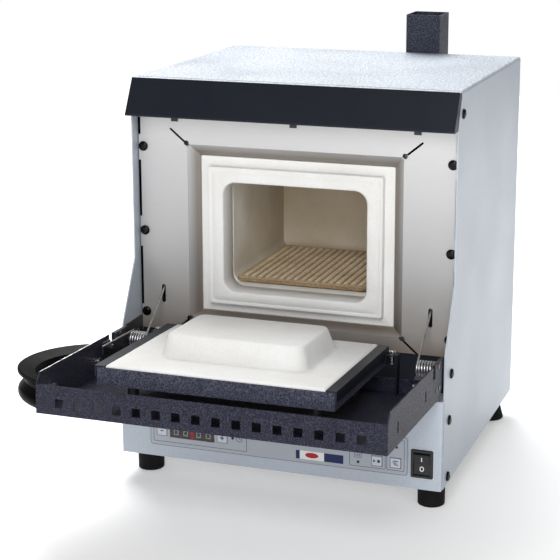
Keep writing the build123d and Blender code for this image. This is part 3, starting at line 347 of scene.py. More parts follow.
def fired_plate(name):
    """Unglazed cordierite plate: tan body with iron specks, with painted shade darkening the grooves between
    its ribs.
    """
    rib_foot, rib_top = 0.2279, 0.2301
    m = Nodes(name)
    fine = m.noise(720.0, 3.0)
    cloud = m.noise(26.0, 4.0)
    specks = m.voronoi(620.0)
    tan, sand, pale = (0.76, 0.65, 0.48), (0.92, 0.81, 0.62), (0.98, 0.89, 0.72)
    base = m.ramp(cloud, [(0.3, tan), (0.55, sand), (0.75, pale)])
    iron = m.ramp(specks, [(0.10, (0.55, 0.45, 0.36)), (0.26, (1.0, 1.0, 1.0))])
    grit = m.ramp(fine, [(0.38, (0.58, 0.53, 0.46)), (0.58, (1.0, 1.0, 1.0))])
    parts = m.add("ShaderNodeSeparateXYZ")
    m.link(m.coords, parts.inputs["Vector"])
    # painted shade: colour darkens down the ribs' sides into the grooves and is lightest on the rib tops
    height = m.spread(parts.outputs["Z"], 0.0, 1.0, rib_foot, rib_top)
    groove_shade = m.ramp(height, [(0.0, (0.34, 0.27, 0.20)), (0.45, (0.72, 0.66, 0.58)), (1.0, (1.0, 1.0, 1.0))])
    m.drive(Base_Color=m.multiply(m.multiply(m.multiply(base, iron), grit), groove_shade))
    m.drive(Roughness=m.spread(fine, 0.78, 0.95, 0.3, 0.7))
    m.drive(Normal=m.bump(fine, 0.00045))
    m.set(Specular_IOR_Level=0.2)
    return m.material


def moulded_plastic(name, colour, rough=0.45, grain=1400.0, bump=0.00006, spread=0.15, shine=0.5):
    """Moulded plastic with spark-eroded texture and faint flow variation."""
    m = Nodes(name)
    fine = m.noise(grain, 2.0)
    flow = m.noise(30.0, 3.0)
    m.drive(Base_Color=m.ramp(flow, [(0.3, shade(colour, 1 - spread)), (0.7, shade(colour, 1 + spread))]))
    m.drive(Roughness=m.spread(flow, rough - 0.06, rough + 0.08, 0.3, 0.7))
    m.drive(Normal=m.bump(fine, bump))
    m.set(Specular_IOR_Level=shine)
    return m.material


def spring_wire(name):
    """Drawn steel wire, slightly blotched."""
    m = Nodes(name)
    blotch = m.noise(70.0, 2.0)
    fine = m.noise(2400.0, 2.0)
    m.drive(Base_Color=m.ramp(blotch, [(0.3, (0.60, 0.60, 0.61)), (0.7, (0.82, 0.82, 0.83))]))
    m.drive(Roughness=m.spread(blotch, 0.3, 0.42, 0.3, 0.7))
    m.drive(Normal=m.bump(fine, 0.00001))
    m.set(Metallic=1.0)
    return m.material


def printed(name, colour, rough=0.4):
    """Screen-printed ink, slightly uneven."""
    m = Nodes(name)
    fine = m.noise(1900.0, 2.0)
    m.drive(Base_Color=m.ramp(fine, [(0.3, shade(colour, 0.88)), (0.7, shade(colour, 1.06))]))
    m.drive(Roughness=m.spread(fine, rough - 0.05, rough + 0.06, 0.3, 0.7))
    m.drive(Normal=m.bump(fine, 0.00001))
    m.set(Specular_IOR_Level=0.25)
    return m.material


def smoked_window(name):
    """Clear grey plastic over the display."""
    m = Nodes(name)
    haze = m.noise(60.0, 2.0)
    m.drive(Base_Color=m.ramp(haze, [(0.3, (0.42, 0.40, 0.41)), (0.7, (0.5, 0.48, 0.49))]))
    m.drive(Roughness=m.spread(haze, 0.05, 0.12, 0.3, 0.7))
    m.set(Transmission_Weight=0.9, IOR=1.3)
    return m.material


MATERIALS = {
    "casing_paint": powder_coat("casing_paint", (0.47, 0.52, 0.585), 0.10, 0.36, 0.0003, 900.0, 0.45, 0.42),
    "dark_paint": powder_coat("dark_paint", (0.0070, 0.0095, 0.0170), 0.25, 0.4, 0.00008, 1500.0, 0.25),
    "tray_paint": hammer_finish(
        "tray_paint", (0.011, 0.011, 0.025), (0.031, 0.032, 0.062), (0.075, 0.078, 0.130), 0.36, 720.0, 0.0045
    ),
    "pan_paint": hammer_finish(
        "pan_paint", (0.034, 0.037, 0.062), (0.090, 0.096, 0.146), (0.170, 0.180, 0.245), 0.40, 720.0, 0.0045
    ),
    "chimney_paint": hammer_finish(
        "chimney_paint", (0.016, 0.019, 0.032), (0.050, 0.057, 0.084), (0.105, 0.115, 0.155), 0.4
    ),
    "stainless": heat_tint_and_shade_sheet("stainless"),
    "galvanised": plated_metal("galvanised", (0.62, 0.63, 0.64), 0.35),
    "black_screw": moulded_plastic("black_screw", (0.0018, 0.0018, 0.0022), 0.2, 2200.0, 0.00003, 0.3, 0.2),
    "dark_steel": moulded_plastic("dark_steel", (0.022, 0.022, 0.026), 0.38, 1500.0, 0.00005, 0.3),
    # painted shade: a near-black matt finish for the patches in the gaps
    "slit_black": moulded_plastic("slit_black", (0.0015, 0.0015, 0.0015), 0.95, 900.0, 0.00003, 0.3, 0.0),
    "plated_steel": plated_metal("plated_steel", (0.74, 0.74, 0.75)),
    "spring_steel": spring_wire("spring_steel"),
    "dull_wire": plated_metal("dull_wire", (0.30, 0.30, 0.31), 0.32),
    "white_ceramic": ceramic("white_ceramic", (0.765, 0.765, 0.755), (0.70, 0.69, 0.67)),
    "chamber_ceramic": chamber_lining("chamber_ceramic"),
    "fibre_board": ceramic("fibre_board", (0.74, 0.70, 0.62), (0.66, 0.60, 0.5)),
    "firing_ceramic": fired_plate("firing_ceramic"),
    "heater": moulded_plastic("heater", (0.07, 0.06, 0.055), 0.6, 900.0, 0.0002, 0.3),
    "black_plastic": moulded_plastic("black_plastic", (0.012, 0.012, 0.014), 0.36),
    "handle_plastic": moulded_plastic(
        "handle_plastic", (0.0030, 0.0022, 0.0025), 0.42, 1200.0, 0.00008, 0.2, 0.03
    ),
    "rubber": moulded_plastic("rubber", (0.004, 0.004, 0.0045), 0.75, 800.0, 0.00015, 0.2, 0.2),
    "overlay": printed("overlay", (0.42, 0.45, 0.50), 0.38),
    "key_white": printed("key_white", (0.58, 0.62, 0.68), 0.4),
    "display_glass": smoked_window("display_glass"),
    "display": printed("display", (0.10, 0.09, 0.09), 0.4),
    "led": moulded_plastic("led", (0.035, 0.012, 0.012), 0.25, 600.0, 0.00002, 0.3),
    "board_green": printed("board_green", (0.012, 0.11, 0.035), 0.35),
    "beige_plastic": moulded_plastic("beige_plastic", (0.60, 0.55, 0.42), 0.5),
    "relay_alloy": brushed_metal("relay_alloy", (0.62, 0.62, 0.63), (20.0, 900.0, 900.0), 0.4),
    "core_steel": brushed_metal("core_steel", (0.16, 0.10, 0.06), (900.0, 14.0, 900.0), 0.5, 0.4),
    "ink_blue": printed("ink_blue", (0.016, 0.024, 0.10)),
    "ink_line": printed("ink_line", (0.075, 0.10, 0.16)),
    "ink_white": printed("ink_white", (0.82, 0.82, 0.82)),
    "ink_red": printed("ink_red", (0.42, 0.02, 0.025)),
    "digit_grey": printed("digit_grey", (0.27, 0.27, 0.265)),
    "worn_edge": plated_metal("worn_edge", (0.85, 0.85, 0.86), 0.3),
}

# nodes whose finish differs a little from the rest of their slot
NODE_LOOK = {
    "door_pan": "pan_paint",
    "retaining_rails": "dark_paint",
    "chimney": "chimney_paint",
    "muffle": "chamber_ceramic",
    "front_frame": "dark_steel",
    "hinge_arms": "dark_steel",
    "hinge_brackets": "dark_steel",
    "arm_rivets": "dark_steel",
    "pan_spacers": "dark_steel",
    "spring_posts": "dark_steel",
    "pan_clips": "dark_paint",
    "spring_arms": "dull_wire",
}


def dress_cad_nodes():
    """Gives every CAD node the procedural material of its slot, or the look listed for it."""
    slots = {part["node"]: part["material_slot"] for part in frame["record"]["subparts"]}
    for node, obj in frame["nodes"].items():
        look = NODE_LOOK.get(node, slots[node])
        obj.data.materials.clear()
        obj.data.materials.append(MATERIALS[look])


# ------------------------------------------------------------------ mesh helpers


def add_piece(name, verts, faces, look, body, slot, smooth=False):
    """A new mesh object that rides on a body."""
    mesh = bpy.data.meshes.new(name)
    mesh.from_pydata([tuple(v) for v in verts], [], faces)
    mesh.validate()
    for polygon in mesh.polygons:
        polygon.use_smooth = smooth
    mesh.materials.append(MATERIALS[look])
    obj = bpy.data.objects.new(name, mesh)
    scene.collection.objects.link(obj)
    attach(obj, body)
    return obj


def smooth_by_angle(obj, degrees=35.0):
    """Smooth shading with sharp edges kept above an angle."""
    obj.data.shade_smooth()
    obj.data.set_sharp_from_angle(angle=math.radians(degrees))


def rounded_outline(half_w, half_h, radius, steps=RING_STEPS):
    """Points of a rounded rectangle, anticlockwise from the right side."""
    points = []
    for cx, cy, start in ((1, 1, 0), (-1, 1, 90), (-1, -1, 180), (1, -1, 270)):
        for i in range(steps):
            angle = math.radians(start + 90 * i / (steps - 1))
            x = cx * (half_w - radius) + radius * math.cos(angle)
            y = cy * (half_h - radius) + radius * math.sin(angle)
            points.append((x, y))
    return points


def prism(points, place, depth_vector):
    """Vertices and faces of a flat outline given thickness."""
    front = [place(*p) for p in points]
    back = [v + depth_vector for v in front]
    n = len(points)
    faces = [tuple(range(n)), tuple(range(2 * n - 1, n - 1, -1))]
    faces += [(i, i + n, (i + 1) % n + n, (i + 1) % n) for i in range(n)]
    return front + back, faces


def ring_prism(outer, inner, place, depth_vector):
    """Vertices and faces of a flat ring between two outlines with equal point counts."""
    n = len(outer)
    front_o = [place(*p) for p in outer]
    front_i = [place(*p) for p in inner]
    verts = front_o + front_i + [v + depth_vector for v in front_o] + [v + depth_vector for v in front_i]
    faces = []
    for i in range(n):
        j = (i + 1) % n
        faces.append((i, j, n + j, n + i))
        faces.append((2 * n + i, 3 * n + i, 3 * n + j, 2 * n + j))
        faces.append((i, 2 * n + i, 2 * n + j, j))
        faces.append((n + i, n + j, 3 * n + j, 3 * n + i))
    return verts, faces


def merge(parts):
    """Joins several (verts, faces) pairs into one."""
    verts, faces = [], []
    for part_verts, part_faces in parts:
        start = len(verts)
        verts += part_verts
        faces += [tuple(start + i for i in face) for face in part_faces]
    return verts, faces


def on_panel(y):
    """Places (x, z) points on an upright plane at depth y."""
    return lambda x, z: kiln(x, y, z)


def moved(points, x, z):
    """Outline points shifted across and up."""
    return [(px + x, pz + z) for px, pz in points]


def ink(points, y):
    """A printed patch on the panel at depth y, facing forwards."""
    return prism(points, on_panel(y), PRINT_DEPTH)


def ink_ring(x, z, half_w, half_h, radius, width, y):
    """A printed rounded outline."""
    outer = moved(rounded_outline(half_w, half_h, radius), x, z)
    inner = moved(rounded_outline(half_w - width, half_h - width, max(radius - width, 0.1)), x, z)
    return ring_prism(outer, inner, on_panel(y), PRINT_DEPTH)


def bar(x, z, half_w, half_h):
    """Corners of a rectangle about its centre."""
    x0, x1, z0, z1 = x - half_w, x + half_w, z - half_h, z + half_h
    return [(x0, z0), (x1, z0), (x1, z1), (x0, z1)]


def ellipse(half_w, half_h, steps):
    """Points round an ellipse."""
    angles = [math.tau * i / steps for i in range(steps)]
    return [(half_w * math.cos(a), half_h * math.sin(a)) for a in angles]


def grid_rim(rows, cols):
    """The border points of a grid of rows and columns, in order round it."""
    rim = [(0, c) for c in range(cols)] + [(r, cols - 1) for r in range(1, rows)]
    rim += [(rows - 1, c) for c in range(cols - 2, -1, -1)] + [(r, 0) for r in range(rows - 2, 0, -1)]
    return rim


# ------------------------------------------------------------------ printed fascia


def print_panel():
    """Outlines, icons and plain colour blocks on the membrane."""
    y = OVERLAY_Y
    lines = [
        ink_ring(-0.8, 36.5, 152.6, 21.9, 3.4, 0.45, y),
        ink_ring(-92.4, 37.0, 57.2, 18.2, 1.6, 0.6, y),
        ink_ring(106.4, 35.4, 20.7, 16.7, 1.6, 0.6, y),
        ink_ring(138.4, 36.8, 10.1, 18.0, 1.6, 0.6, y),
        ink_ring(-44.4, 32.8, 3.7, 3.7, 3.65, 0.7, y),
        ink(bar(-44.4, 33.9, 0.35, 1.3), y),
        ink(bar(-43.6, 32.9, 1.1, 0.35), y),
        ink_ring(95.4, 31.8, 4.2, 3.2, 0.6, 0.5, y),
    ]
    for dx in (-2.0, 0.0, 2.0):
        lines.append(ink(bar(95.4 + dx, 31.8, 0.35, 1.7), y))
    add_piece("panel_outlines", *merge(lines), "ink_line", "casing", "overlay")

    blues = [ink(bar(25.6, 23.9, 2.3, 5.0), y), ink(bar(67.6, 23.9, 11.2, 5.0), y)]
    add_piece("panel_blocks", *merge(blues), "ink_blue", "casing", "overlay")
    add_piece("panel_pale_block", *ink(bar(42.15, 23.9, 14.25, 5.0), y), "ink_white", "casing", "overlay")
    oval = moved(ellipse(7.8, 3.1, 32), 42.0, 24.2)
    add_piece("panel_oval", *ink(oval, y - 0.06), "ink_red", "casing", "overlay")


def print_keys():
    """Raised key borders and symbols, each riding on its own key."""
    y = KEY_FACE_Y
    symbols = {
        "minus": [ink(bar(0, 0, 1.8, 0.6), 0)],
        "plus": [ink(bar(0, 0, 2.5, 0.6), 0), ink(bar(0, 1.6, 0.6, 1.0), 0), ink(bar(0, -1.6, 0.6, 1.0), 0)],
        "start": [ink([(-3.9, -1.7), (-1.2, 0.0), (-3.9, 1.7)], 0), ink(bar(2.2, 0, 1.5, 1.6), 0)],
        "program": [ink(bar(x, z, w, 0.45), 0) for x, z, w in ((0, 2, 3), (-1, 0, 2), (0.6, -2, 2.4))],
    }
    for key, (x, z) in KEYS.items():
        shift = kiln(x, y, z) - kiln(0, 0, 0)
        verts, faces = merge(symbols[key])
        add_piece(f"{key}_symbol", [v + shift for v in verts], faces, "ink_blue", f"{key}_key", "key_white")
        verts, faces = ink_ring(0, 0, 6.0, 5.7, 1.1, 0.4, 0)
        add_piece(f"{key}_border", [v + shift for v in verts], faces, "ink_line", f"{key}_key", "key_white")


def print_display():
    """Four digits and a red divider behind the window."""
    y = DISPLAY_FACE_Y - 0.02
    digits = []
    for x in (-121.6, -109.8, -94.0, -82.2):
        digits.append(ink_ring(x, 31.8, 2.9, 3.3, 0.8, 1.15, y))
    add_piece("display_digits", *merge(digits), "digit_grey", "casing", "display")
    add_piece("display_divider", *ink(bar(-101.9, 33.0, 1.7, 7.3), y), "ink_red", "casing", "display")
    colon = [ink(bar(-101.9, 35.5, 0.7, 0.9), y - 0.07), ink(bar(-101.9, 30.0, 0.7, 0.9), y - 0.07)]
    add_piece("display_colon", *merge(colon), "ink_blue", "casing", "display")


def print_rocker():
    """The on and off marks of the power switch."""
    x, z = SWITCH
    slope = 4.8 / 20

    def upper(px, pz):
        return kiln(x + px, -61.6 - slope * pz, z + pz)

    def lower(px, pz):
        return kiln(x + px, -61.6, z + pz)

    depth = Vector((0, -0.00008, 0))
    on_mark = prism(bar(0, 5.6, 0.5, 2.6), upper, depth)
    outer = moved(ellipse(2.5, 3.0, 28), 0, -5.6)
    inner = moved(ellipse(1.5, 2.0, 28), 0, -5.6)
    off_mark = ring_prism(outer, inner, lower, depth)
    add_piece("rocker_marks", *merge([on_mark, off_mark]), "ink_white", "power_rocker", "black_plastic")
    outline = ink_ring(x, z, 13.3, 17.0, 1.6, 0.5, BEZEL_FACE_Y)
    add_piece("switch_outline", *outline, "ink_white", "casing", "casing_paint")


# ------------------------------------------------------------------ screws


def dome_screw(origin, out, across, radius, height):
    """A domed head with a hexagon socket, standing on origin along out."""
    up = out.cross(across)
    segments = 30
    profile = [(radius * 0.96, 0.0), (radius, 0.35), (radius, 0.8)]
    for i in range(1, 6):
        angle = math.radians(18 * i)
        reach = radius * 0.52 + radius * 0.48 * math.cos(angle)
        profile.append((reach, 0.8 + (height - 0.8) * math.sin(angle)))
    verts, faces = [], []
    for r, h in profile:
        for i in range(segments):
            a = math.tau * i / segments
            verts.append(origin + (across * math.cos(a) + up * math.sin(a)) * r * MM + out * h * MM)
    for h in (height, height - 1.3):
        for i in range(segments):
            a = math.tau * i / segments
            wedge = (a % (math.tau / 6)) - math.tau / 12
            r = radius * 0.34 / math.cos(wedge)
            verts.append(origin + (across * math.cos(a) + up * math.sin(a)) * r * MM + out * h * MM)
    rings = len(profile) + 2
    for ring in range(rings - 1):
        for i in range(segments):
            j = (i + 1) % segments
            a, b = ring * segments, (ring + 1) * segments
            faces.append((a + i, a + j, b + j, b + i))
    faces.append(tuple(range((rings - 1) * segments, rings * segments)))
    faces.append(tuple(reversed(range(segments))))
    return verts, faces


def make_screws():
    """Button-head screws of the front plate and the casing sides."""
    forwards, sideways, backwards = Vector((0, -1, 0)), Vector((1, 0, 0)), Vector((0, 1, 0))
    heads = []
    for side in (-1, 1):
        for z in (155.0, 252.3, 350.9):
            heads.append(dome_screw(kiln(side * 181.5, -2.0, z), forwards, sideways, 5.6, 3.0))
    obj = add_piece("plate_screw_heads", *merge(heads), "black_screw", "casing", "black_screw")
    smooth_by_angle(obj)
    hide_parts("plate_screws")
    heads = []
    for side in (-1, 1):
        for y, z in ((3.0, 406.0), (-26.5, 125.2), (-33.0, 74.0), (-34.6, 9.2)):
            heads.append(dome_screw(kiln(side * 190.0, y, z), side * sideways, backwards, 5.5, 2.8))
    obj = add_piece("side_screw_heads", *merge(heads), "black_screw", "casing", "black_screw")
    smooth_by_angle(obj)
    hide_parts("side_screws")


# ------------------------------------------------------------------ springs


def tube(path, radius, sides=12):
    """Vertices and faces of a round wire along a path in metres, with flat ends."""
    verts, faces = [], []
    side = (path[1] - path[0]).orthogonal().normalized()
    for i, point in enumerate(path):
        along = (path[min(i + 1, len(path) - 1)] - path[max(i - 1, 0)]).normalized()
        side = (side - along * side.dot(along)).normalized()
        up = along.cross(side)
        for k in range(sides):
            a = math.tau * k / sides
            verts.append(point + (side * math.cos(a) + up * math.sin(a)) * radius * MM)
    for i in range(len(path) - 1):
        for k in range(sides):
            j = (k + 1) % sides
            a, b = i * sides, (i + 1) * sides
            faces.append((a + k, a + j, b + j, b + k))
    faces.append(tuple(reversed(range(sides))))
    faces.append(tuple(range((len(path) - 1) * sides, len(path) * sides)))
    return verts, faces


def spring_path(side):
    """Centre line of one door spring: the straight leg, then the coil, which opens out a little."""
    centre_y, centre_z = AXIS_Y - COIL_U * math.cos(TILT), AXIS_Z + COIL_U * math.sin(TILT)
    lean = math.radians(LEG_LEAN)
    foot_y, foot_z = centre_y - LEG_R * math.sin(lean), centre_z + LEG_R * math.cos(lean)
    path = []
    for t in (LEG_LENGTH, 40.0, 6.0):
        path.append(kiln(side * COIL_X, foot_y + t * math.cos(lean), foot_z + t * math.sin(lean)))
    per_turn = 24
    flat_start = 4
    for i in range(round(COIL_TURNS * per_turn) + 1):
        angle = math.radians(90 + LEG_LEAN + 360 // per_turn * i)
        opening = min(2 * i / per_turn, 1.0)
        radius = LEG_R + (COIL_R - LEG_R) * opening * opening * (3 - 2 * opening)
        x = COIL_X + COIL_PITCH * max(i - flat_start, 0) / per_turn
        path.append(kiln(side * x, centre_y + radius * math.cos(angle), centre_z + radius * math.sin(angle)))
    return path


def make_springs():
    """Door springs with open, separate turns, and the arms that bear on the tray's pins."""
    coils = [tube(spring_path(side), WIRE_R) for side in (-1, 1)]
    obj = add_piece("spring_coils", *merge(coils), "spring_steel", "springs", "spring_steel")
    smooth_by_angle(obj, 50)
    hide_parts("door_springs")
    left = [door(-176.2, 25.0, 10.8), door(-176.2, 107.0, 10.8)]
    right = [door(176.2, 25.0, -10.6), door(176.2, 107.0, 5.2)]
    arms = merge([tube(left, WIRE_R), tube(right, WIRE_R)])
    obj = add_piece("spring_arm_wires", *arms, "dull_wire", "door", "spring_steel")
    smooth_by_angle(obj, 50)
    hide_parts("spring_arms")


# ------------------------------------------------------------------ ceramic pieces


def make_collar():
    """Mouth collar with soft, slightly uneven edges, as outlines joined into a closed ring.

    Each outline is half its width, its lowest and highest z, its corner radius and its depth y.
    They run from the collar's outer back edge round its stepped front to its inner back edge.
    """
    rings = [
        (114.6, 160.6, 342.4, 2.0, 31.9),
        (114.6, 160.6, 342.4, 2.0, 9.6),
        (114.4, 160.8, 342.2, 2.0, 9.1),
        (113.9, 161.3, 341.7, 2.0, 8.9),
        (104.0, 170.6, 332.6, 2.4, 8.8),
        (103.4, 171.2, 332.0, 2.6, 8.5),
        (103.3, 171.3, 331.9, 2.6, 7.8),
        (103.3, 171.3, 331.9, 2.6, 0.6),
        (103.0, 171.6, 331.6, 2.8, -0.2),
        (102.3, 172.3, 330.9, 3.0, -0.5),
        (99.6, 174.8, 328.4, 4.2, -0.5),
        (99.2, 175.2, 328.0, 4.2, -0.1),
        (98.2, 176.2, 327.0, 4.2, -0.1),
        (97.8, 176.6, 326.6, 4.2, -0.5),
        (87.2, 184.7, 316.5, 16.6, -0.5),
        (85.6, 186.2, 315.1, 15.4, -0.1),
        (85.0, 186.8, 314.5, 15.0, 1.0),
        (85.0, 186.8, 314.5, 15.0, 29.6),
        (86.6, 185.4, 316.0, 15.0, 31.9),
    ]
    steps = 13
    count = 4 * steps
    verts, faces = [], []
    for half_w, z0, z1, radius, y in rings:
        outline = rounded_outline(half_w, (z1 - z0) / 2, radius, steps)
        for x, z in outline:
            point = kiln(x, y, z + (z0 + z1) / 2)
            wobble = noise.noise(point * 38.0) * 0.0003 if y < 20 else 0.0
            verts.append(point + Vector((0, wobble, 0)))
    total = len(rings)
    for ring in range(total):
        after = (ring + 1) % total
        for i in range(count):
            j = (i + 1) % count
            faces.append((ring * count + i, ring * count + j, after * count + j, after * count + i))
    obj = add_piece("mouth_collar_formed", verts, faces, "white_ceramic", "casing", "white_ceramic")
    smooth_by_angle(obj, 50)
    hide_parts("mouth_collar")


def rounded_distance(x, u, half_x, half_u, radius):
    """Signed distance to a rounded rectangle, negative inside."""
    qx = abs(x) - half_x + radius
    qu = abs(u) - half_u + radius
    outside = math.hypot(max(qx, 0.0), max(qu, 0.0))
    return outside + min(max(qx, qu), 0.0) - radius


def plug_level(x, u):
    """How far up the plug's sloping side a point lies, 0 at the slab and 1 on top."""
    low, high = 0.0, 1.0
    if rounded_distance(x, u - 119.25, 74.6, 47.4, 11.0) <= 0:
        return 1.0
    if rounded_distance(x, u - 117.5, 81.0, 57.5, 15.0) >= 0:
        return 0.0
    for _ in range(14):
        level = (low + high) / 2
        d = rounded_distance(
            x, u - 117.5 - 1.75 * level, 81.0 - 6.4 * level, 57.5 - 10.1 * level, 15.0 - 4.0 * level
        )
        if d <= 0:
            low = level
        else:
            high = level
    return low


def blurred(grid, passes):
    """A few passes of a small smoothing kernel over a height grid."""
    rows, cols = len(grid), len(grid[0])
    for _ in range(passes):
        new = [row[:] for row in grid]
        for r in range(rows):
            for c in range(cols):
                total = 4.0 * grid[r][c]
                total += grid[max(r - 1, 0)][c] + grid[min(r + 1, rows - 1)][c]
                total += grid[r][max(c - 1, 0)] + grid[r][min(c + 1, cols - 1)]
                new[r][c] = total / 8.0
        grid = new
    return grid


def make_door_lining():
    """Fibre slab and plug of the door as one softly moulded surface."""
    x_edge, u_low, u_high = 117.6, 36.3, 220.2
    cols, rows = 150, 118
    xs = [-x_edge + 2 * x_edge * c / (cols - 1) for c in range(cols)]
    us = [u_low + (u_high - u_low) * r / (rows - 1) for r in range(rows)]
    levels = blurred([[plug_level(x, u) for x in xs] for u in us], 2)
    verts, faces = [], []
    for r, u in enumerate(us):
        for c, x in enumerate(xs):
            edge = min(x_edge - abs(x), u - u_low, u_high - u)
            drop = 1.6 * max(0.0, 1.0 - edge / 3.0) ** 2
            point = Vector((x, u, 0)) * MM
            dent = noise.noise(point * 30.0) * 0.22 + noise.noise(point * 95.0) * 0.10
            verts.append(door(x, u, 26.4 + 23.9 * levels[r][c] - drop + dent))
    for r in range(rows - 1):
        for c in range(cols - 1):
            a = r * cols + c
            faces.append((a, a + cols, a + cols + 1, a + 1))
    rim = grid_rim(rows, cols)
    base = len(verts)
    for r, c in rim:
        verts.append(door(xs[c], us[r], 6.5))
    n = len(rim)
    for i in range(n):
        j = (i + 1) % n
        top_i, top_j = rim[i][0] * cols + rim[i][1], rim[j][0] * cols + rim[j][1]
        faces.append((top_i, top_j, base + j, base + i))
    faces.append(tuple(base + i for i in range(n)))
    obj = add_piece("door_lining", verts, faces, "white_ceramic", "door", "white_ceramic")
    smooth_by_angle(obj, 50)
    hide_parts("door_insulation")


def make_firing_plate():
    """Ribbed plate with a flat border, rounded corners and worn rib tops."""
    half_x, y0, y1, pitch, ribs = 78.4, 19.1, 186.9, 8.6, 17
    cols, rows = ribs * 14 + 30, 96
    xs = [-half_x + 2 * half_x * c / (cols - 1) for c in range(cols)]
    ys = [y0 + (y1 - y0) * r / (rows - 1) for r in range(rows)]
    middle, half_y, corner = (y0 + y1) / 2, (y1 - y0) / 2, 9.0
    verts, faces = [], []
    for y in ys:
        for x in xs:
            excess = abs(y - middle) - half_y + corner
            reach = half_x - (corner - math.sqrt(max(corner**2 - excess**2, 0.0)) if excess > 0 else 0.0)
            px = x * reach / half_x
            inset = -rounded_distance(px, y - middle, half_x, half_y, corner)
            rise = 199.7 - 1.3 * max(0.0, 1.0 - inset / 1.6) ** 2
            inner = min(half_x - 5.2 - abs(px), half_y - 7.4 - abs(y - middle))
            if inner > 0:
                phase = (px + pitch * ribs / 2) / pitch % 1.0
                crest = max(0.0, math.sin(math.pi * phase)) ** 0.7
                rise += min(1.0, inner / 1.5) * (2.4 * crest - 1.25)
            grit = noise.noise(Vector((px, y, 3.0)) * 0.45) * 0.14
            warp = noise.noise(Vector((px, y, 9.0)) * 0.08) * 0.12
            verts.append(kiln(px, y, rise + (grit + warp)))
    for r in range(rows - 1):
        for c in range(cols - 1):
            a = r * cols + c
            faces.append((a, a + 1, a + cols + 1, a + cols))
    rim = grid_rim(rows, cols)
    base = len(verts)
    for r, c in rim:
        low = verts[r * cols + c].copy()
        low.z = kiln(0, 0, 195.7).z
        verts.append(low)
    n = len(rim)
    for i in range(n):
        j = (i + 1) % n
        top_i, top_j = rim[i][0] * cols + rim[i][1], rim[j][0] * cols + rim[j][1]
        faces.append((top_j, top_i, base + i, base + j))
    faces.append(tuple(base + n - 1 - i for i in range(n)))
    for y in (48.0, 158.0):
        start = len(verts)
        for z in (191.4, 195.9):
            for x, dy in ((-62, -5), (62, -5), (62, 5), (-62, 5)):
                verts.append(kiln(x, y + dy, z))
        faces += [tuple(start + i for i in face) for face in BLOCK_FACES]
    obj = add_piece("ribbed_plate", verts, faces, "firing_ceramic", "plate", "firing_ceramic")
    smooth_by_angle(obj, 50)
    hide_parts("firing_plate")


def make_gap_shades():
    """Black patches painted as shade in the air gaps behind the front plate's relief slits and edge notches,
    and in the top seam.
    """
    slits = [(144.6, 372.0, 15.6, 13.4), (144.6, 143.4, 15.6, 6.4)]
    notches = [(186.4, 374.4, 1.5, 9.5), (186.4, 301.6, 1.5, 32.6), (186.4, 198.0, 1.5, 34.6)]
    thin = Vector((0, -0.0001, 0))
    patches = []
    # painted shade: near-black patches behind the slits and notches stand for the shadow in the gaps
    for side in (-1, 1):
        for y, painted_glint_spots in ((0.55, slits), (-1.15, notches)):
            for x, z, half_w, half_h in painted_glint_spots:
                outline = moved(rounded_outline(half_w, half_h, 0.4, 3), side * x, z)
                patches.append(prism(outline, on_panel(y), thin))
    add_piece("plate_gap_shade", *merge(patches), "slit_black", "casing", "dark_paint")
    # painted shade: a thin black line in the seam between the casing top and the visor
    seam = [(-187, -1.0), (187, -1.0), (187, -0.1), (-187, -0.1)]
    shade_top = prism(seam, lambda x, y: kiln(x, y, 430.85), Vector((0, 0, -0.0001)))
    add_piece("top_gap_shade", *shade_top, "slit_black", "casing", "dark_paint")


# ------------------------------------------------------------------ bright edges


def make_edge_strips():
    """Thin strips of bright metal along the tray's left top edge, beside the grip."""
    strips = []
    for u0, u1 in ((30.0, 59.4), (68.6, 233.0)):
        corners = [(-187.4, u0), (-186.1, u0), (-186.1, u1), (-187.4, u1)]
        verts = [door(x, u, 15.0) for x, u in corners] + [door(x, u, 15.08) for x, u in corners]
        strips.append((verts, BLOCK_FACES))
    add_piece("tray_edge_strips", *merge(strips), "worn_edge", "door", "tray_paint")


# ------------------------------------------------------------------ studio


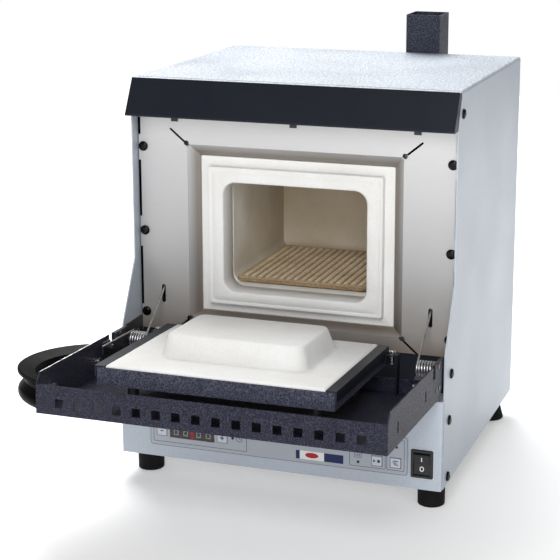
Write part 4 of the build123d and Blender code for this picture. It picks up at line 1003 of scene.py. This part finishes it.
def make_stage():
    """Pale floor that glows, weakly near the kiln and more strongly further out, as painted light; plain
    white backdrop, even sky and soft lights.
    """
    size = 3.0
    mesh = bpy.data.meshes.new("floor")
    z = cad_low.z - 0.0002
    corners = [(-size, -size, z), (size, -size, z), (size, size, z), (-size, size, z)]
    mesh.from_pydata(corners, [], [(0, 1, 2, 3)])
    floor = bpy.data.objects.new("floor", mesh)
    scene.collection.objects.link(floor)
    paint = Nodes("glowing_floor")
    paint.set(Base_Color=(0.9, 0.9, 0.9, 1), Roughness=0.95, Specular_IOR_Level=0.1)
    # painted light: the floor's glow grows with distance from the kiln
    paint.set(Emission_Color=(1, 1, 1, 1))
    reach = paint.add("ShaderNodeVectorMath", operation="LENGTH")
    paint.link(paint.coords, reach.inputs[0])
    paint.drive(Emission_Strength=paint.spread(reach.outputs["Value"], 0.26, 0.9, 0.8, 2.2))
    mesh.materials.append(paint.material)

    world = bpy.data.worlds.new("studio")
    world.use_nodes = True
    nodes = world.node_tree.nodes
    sky = nodes["Background"]
    sky.inputs["Color"].default_value = (1.0, 1.0, 1.0, 1)
    sky.inputs["Strength"].default_value = 0.22
    backdrop = nodes.new("ShaderNodeBackground")
    backdrop.inputs["Color"].default_value = (1.0, 1.0, 1.0, 1)
    backdrop.inputs["Strength"].default_value = 1.0
    rays = nodes.new("ShaderNodeLightPath")
    blend = nodes.new("ShaderNodeMixShader")
    links = world.node_tree.links
    links.new(rays.outputs["Is Camera Ray"], blend.inputs["Fac"])
    links.new(sky.outputs["Background"], blend.inputs[1])
    links.new(backdrop.outputs["Background"], blend.inputs[2])
    links.new(blend.outputs["Shader"], nodes["World Output"].inputs["Surface"])
    scene.world = world

    lights = [
        ("key_light", (0.55, -2.3, 1.75), (0.0, -0.05, 0.28), 0.9, 31.0),
        ("front_light", (0.55, -2.6, 0.8), (0.0, 0.0, 0.28), 1.2, 22.0),
        ("top_light", (-0.6, 1.1, 1.9), (0.0, 0.15, 0.4), 1.5, 69.0),
    ]
    for name, place, aim, width, power in lights:
        data = bpy.data.lights.new(name, "AREA")
        data.shape = "SQUARE"
        data.size = width
        data.energy = power
        lamp = bpy.data.objects.new(name, data)
        lamp.location = place
        lamp.rotation_euler = (Vector(aim) - Vector(place)).to_track_quat("-Z", "Y").to_euler()
        scene.collection.objects.link(lamp)


def make_camera():
    """Three-quarter view from the front right, slightly above."""
    data = bpy.data.cameras.new("camera")
    data.sensor_width = 36.0
    data.lens = 104.59
    data.shift_y = -0.08
    data.clip_end = 50.0
    camera = bpy.data.objects.new("camera", data)
    azimuth, elevation, roll = math.radians(19.573), math.radians(13.371), math.radians(-0.157)
    camera.location = kiln(580.5, -1679.3, 681.7)
    back = Vector(
        (
            math.sin(azimuth) * math.cos(elevation),
            -math.cos(azimuth) * math.cos(elevation),
            math.sin(elevation),
        )
    )
    look = (-back).to_track_quat("-Z", "Y").to_matrix().to_4x4()
    spin = Euler((0, 0, roll)).to_matrix().to_4x4()
    camera.rotation_euler = (look @ spin).to_euler()
    scene.collection.objects.link(camera)
    scene.camera = camera


dress_cad_nodes()
print_panel()
print_keys()
print_display()
print_rocker()
make_screws()
make_springs()
make_collar()
make_door_lining()
make_firing_plate()
make_gap_shades()
make_edge_strips()
make_stage()
make_camera()
scene.view_settings.view_transform = "Standard"
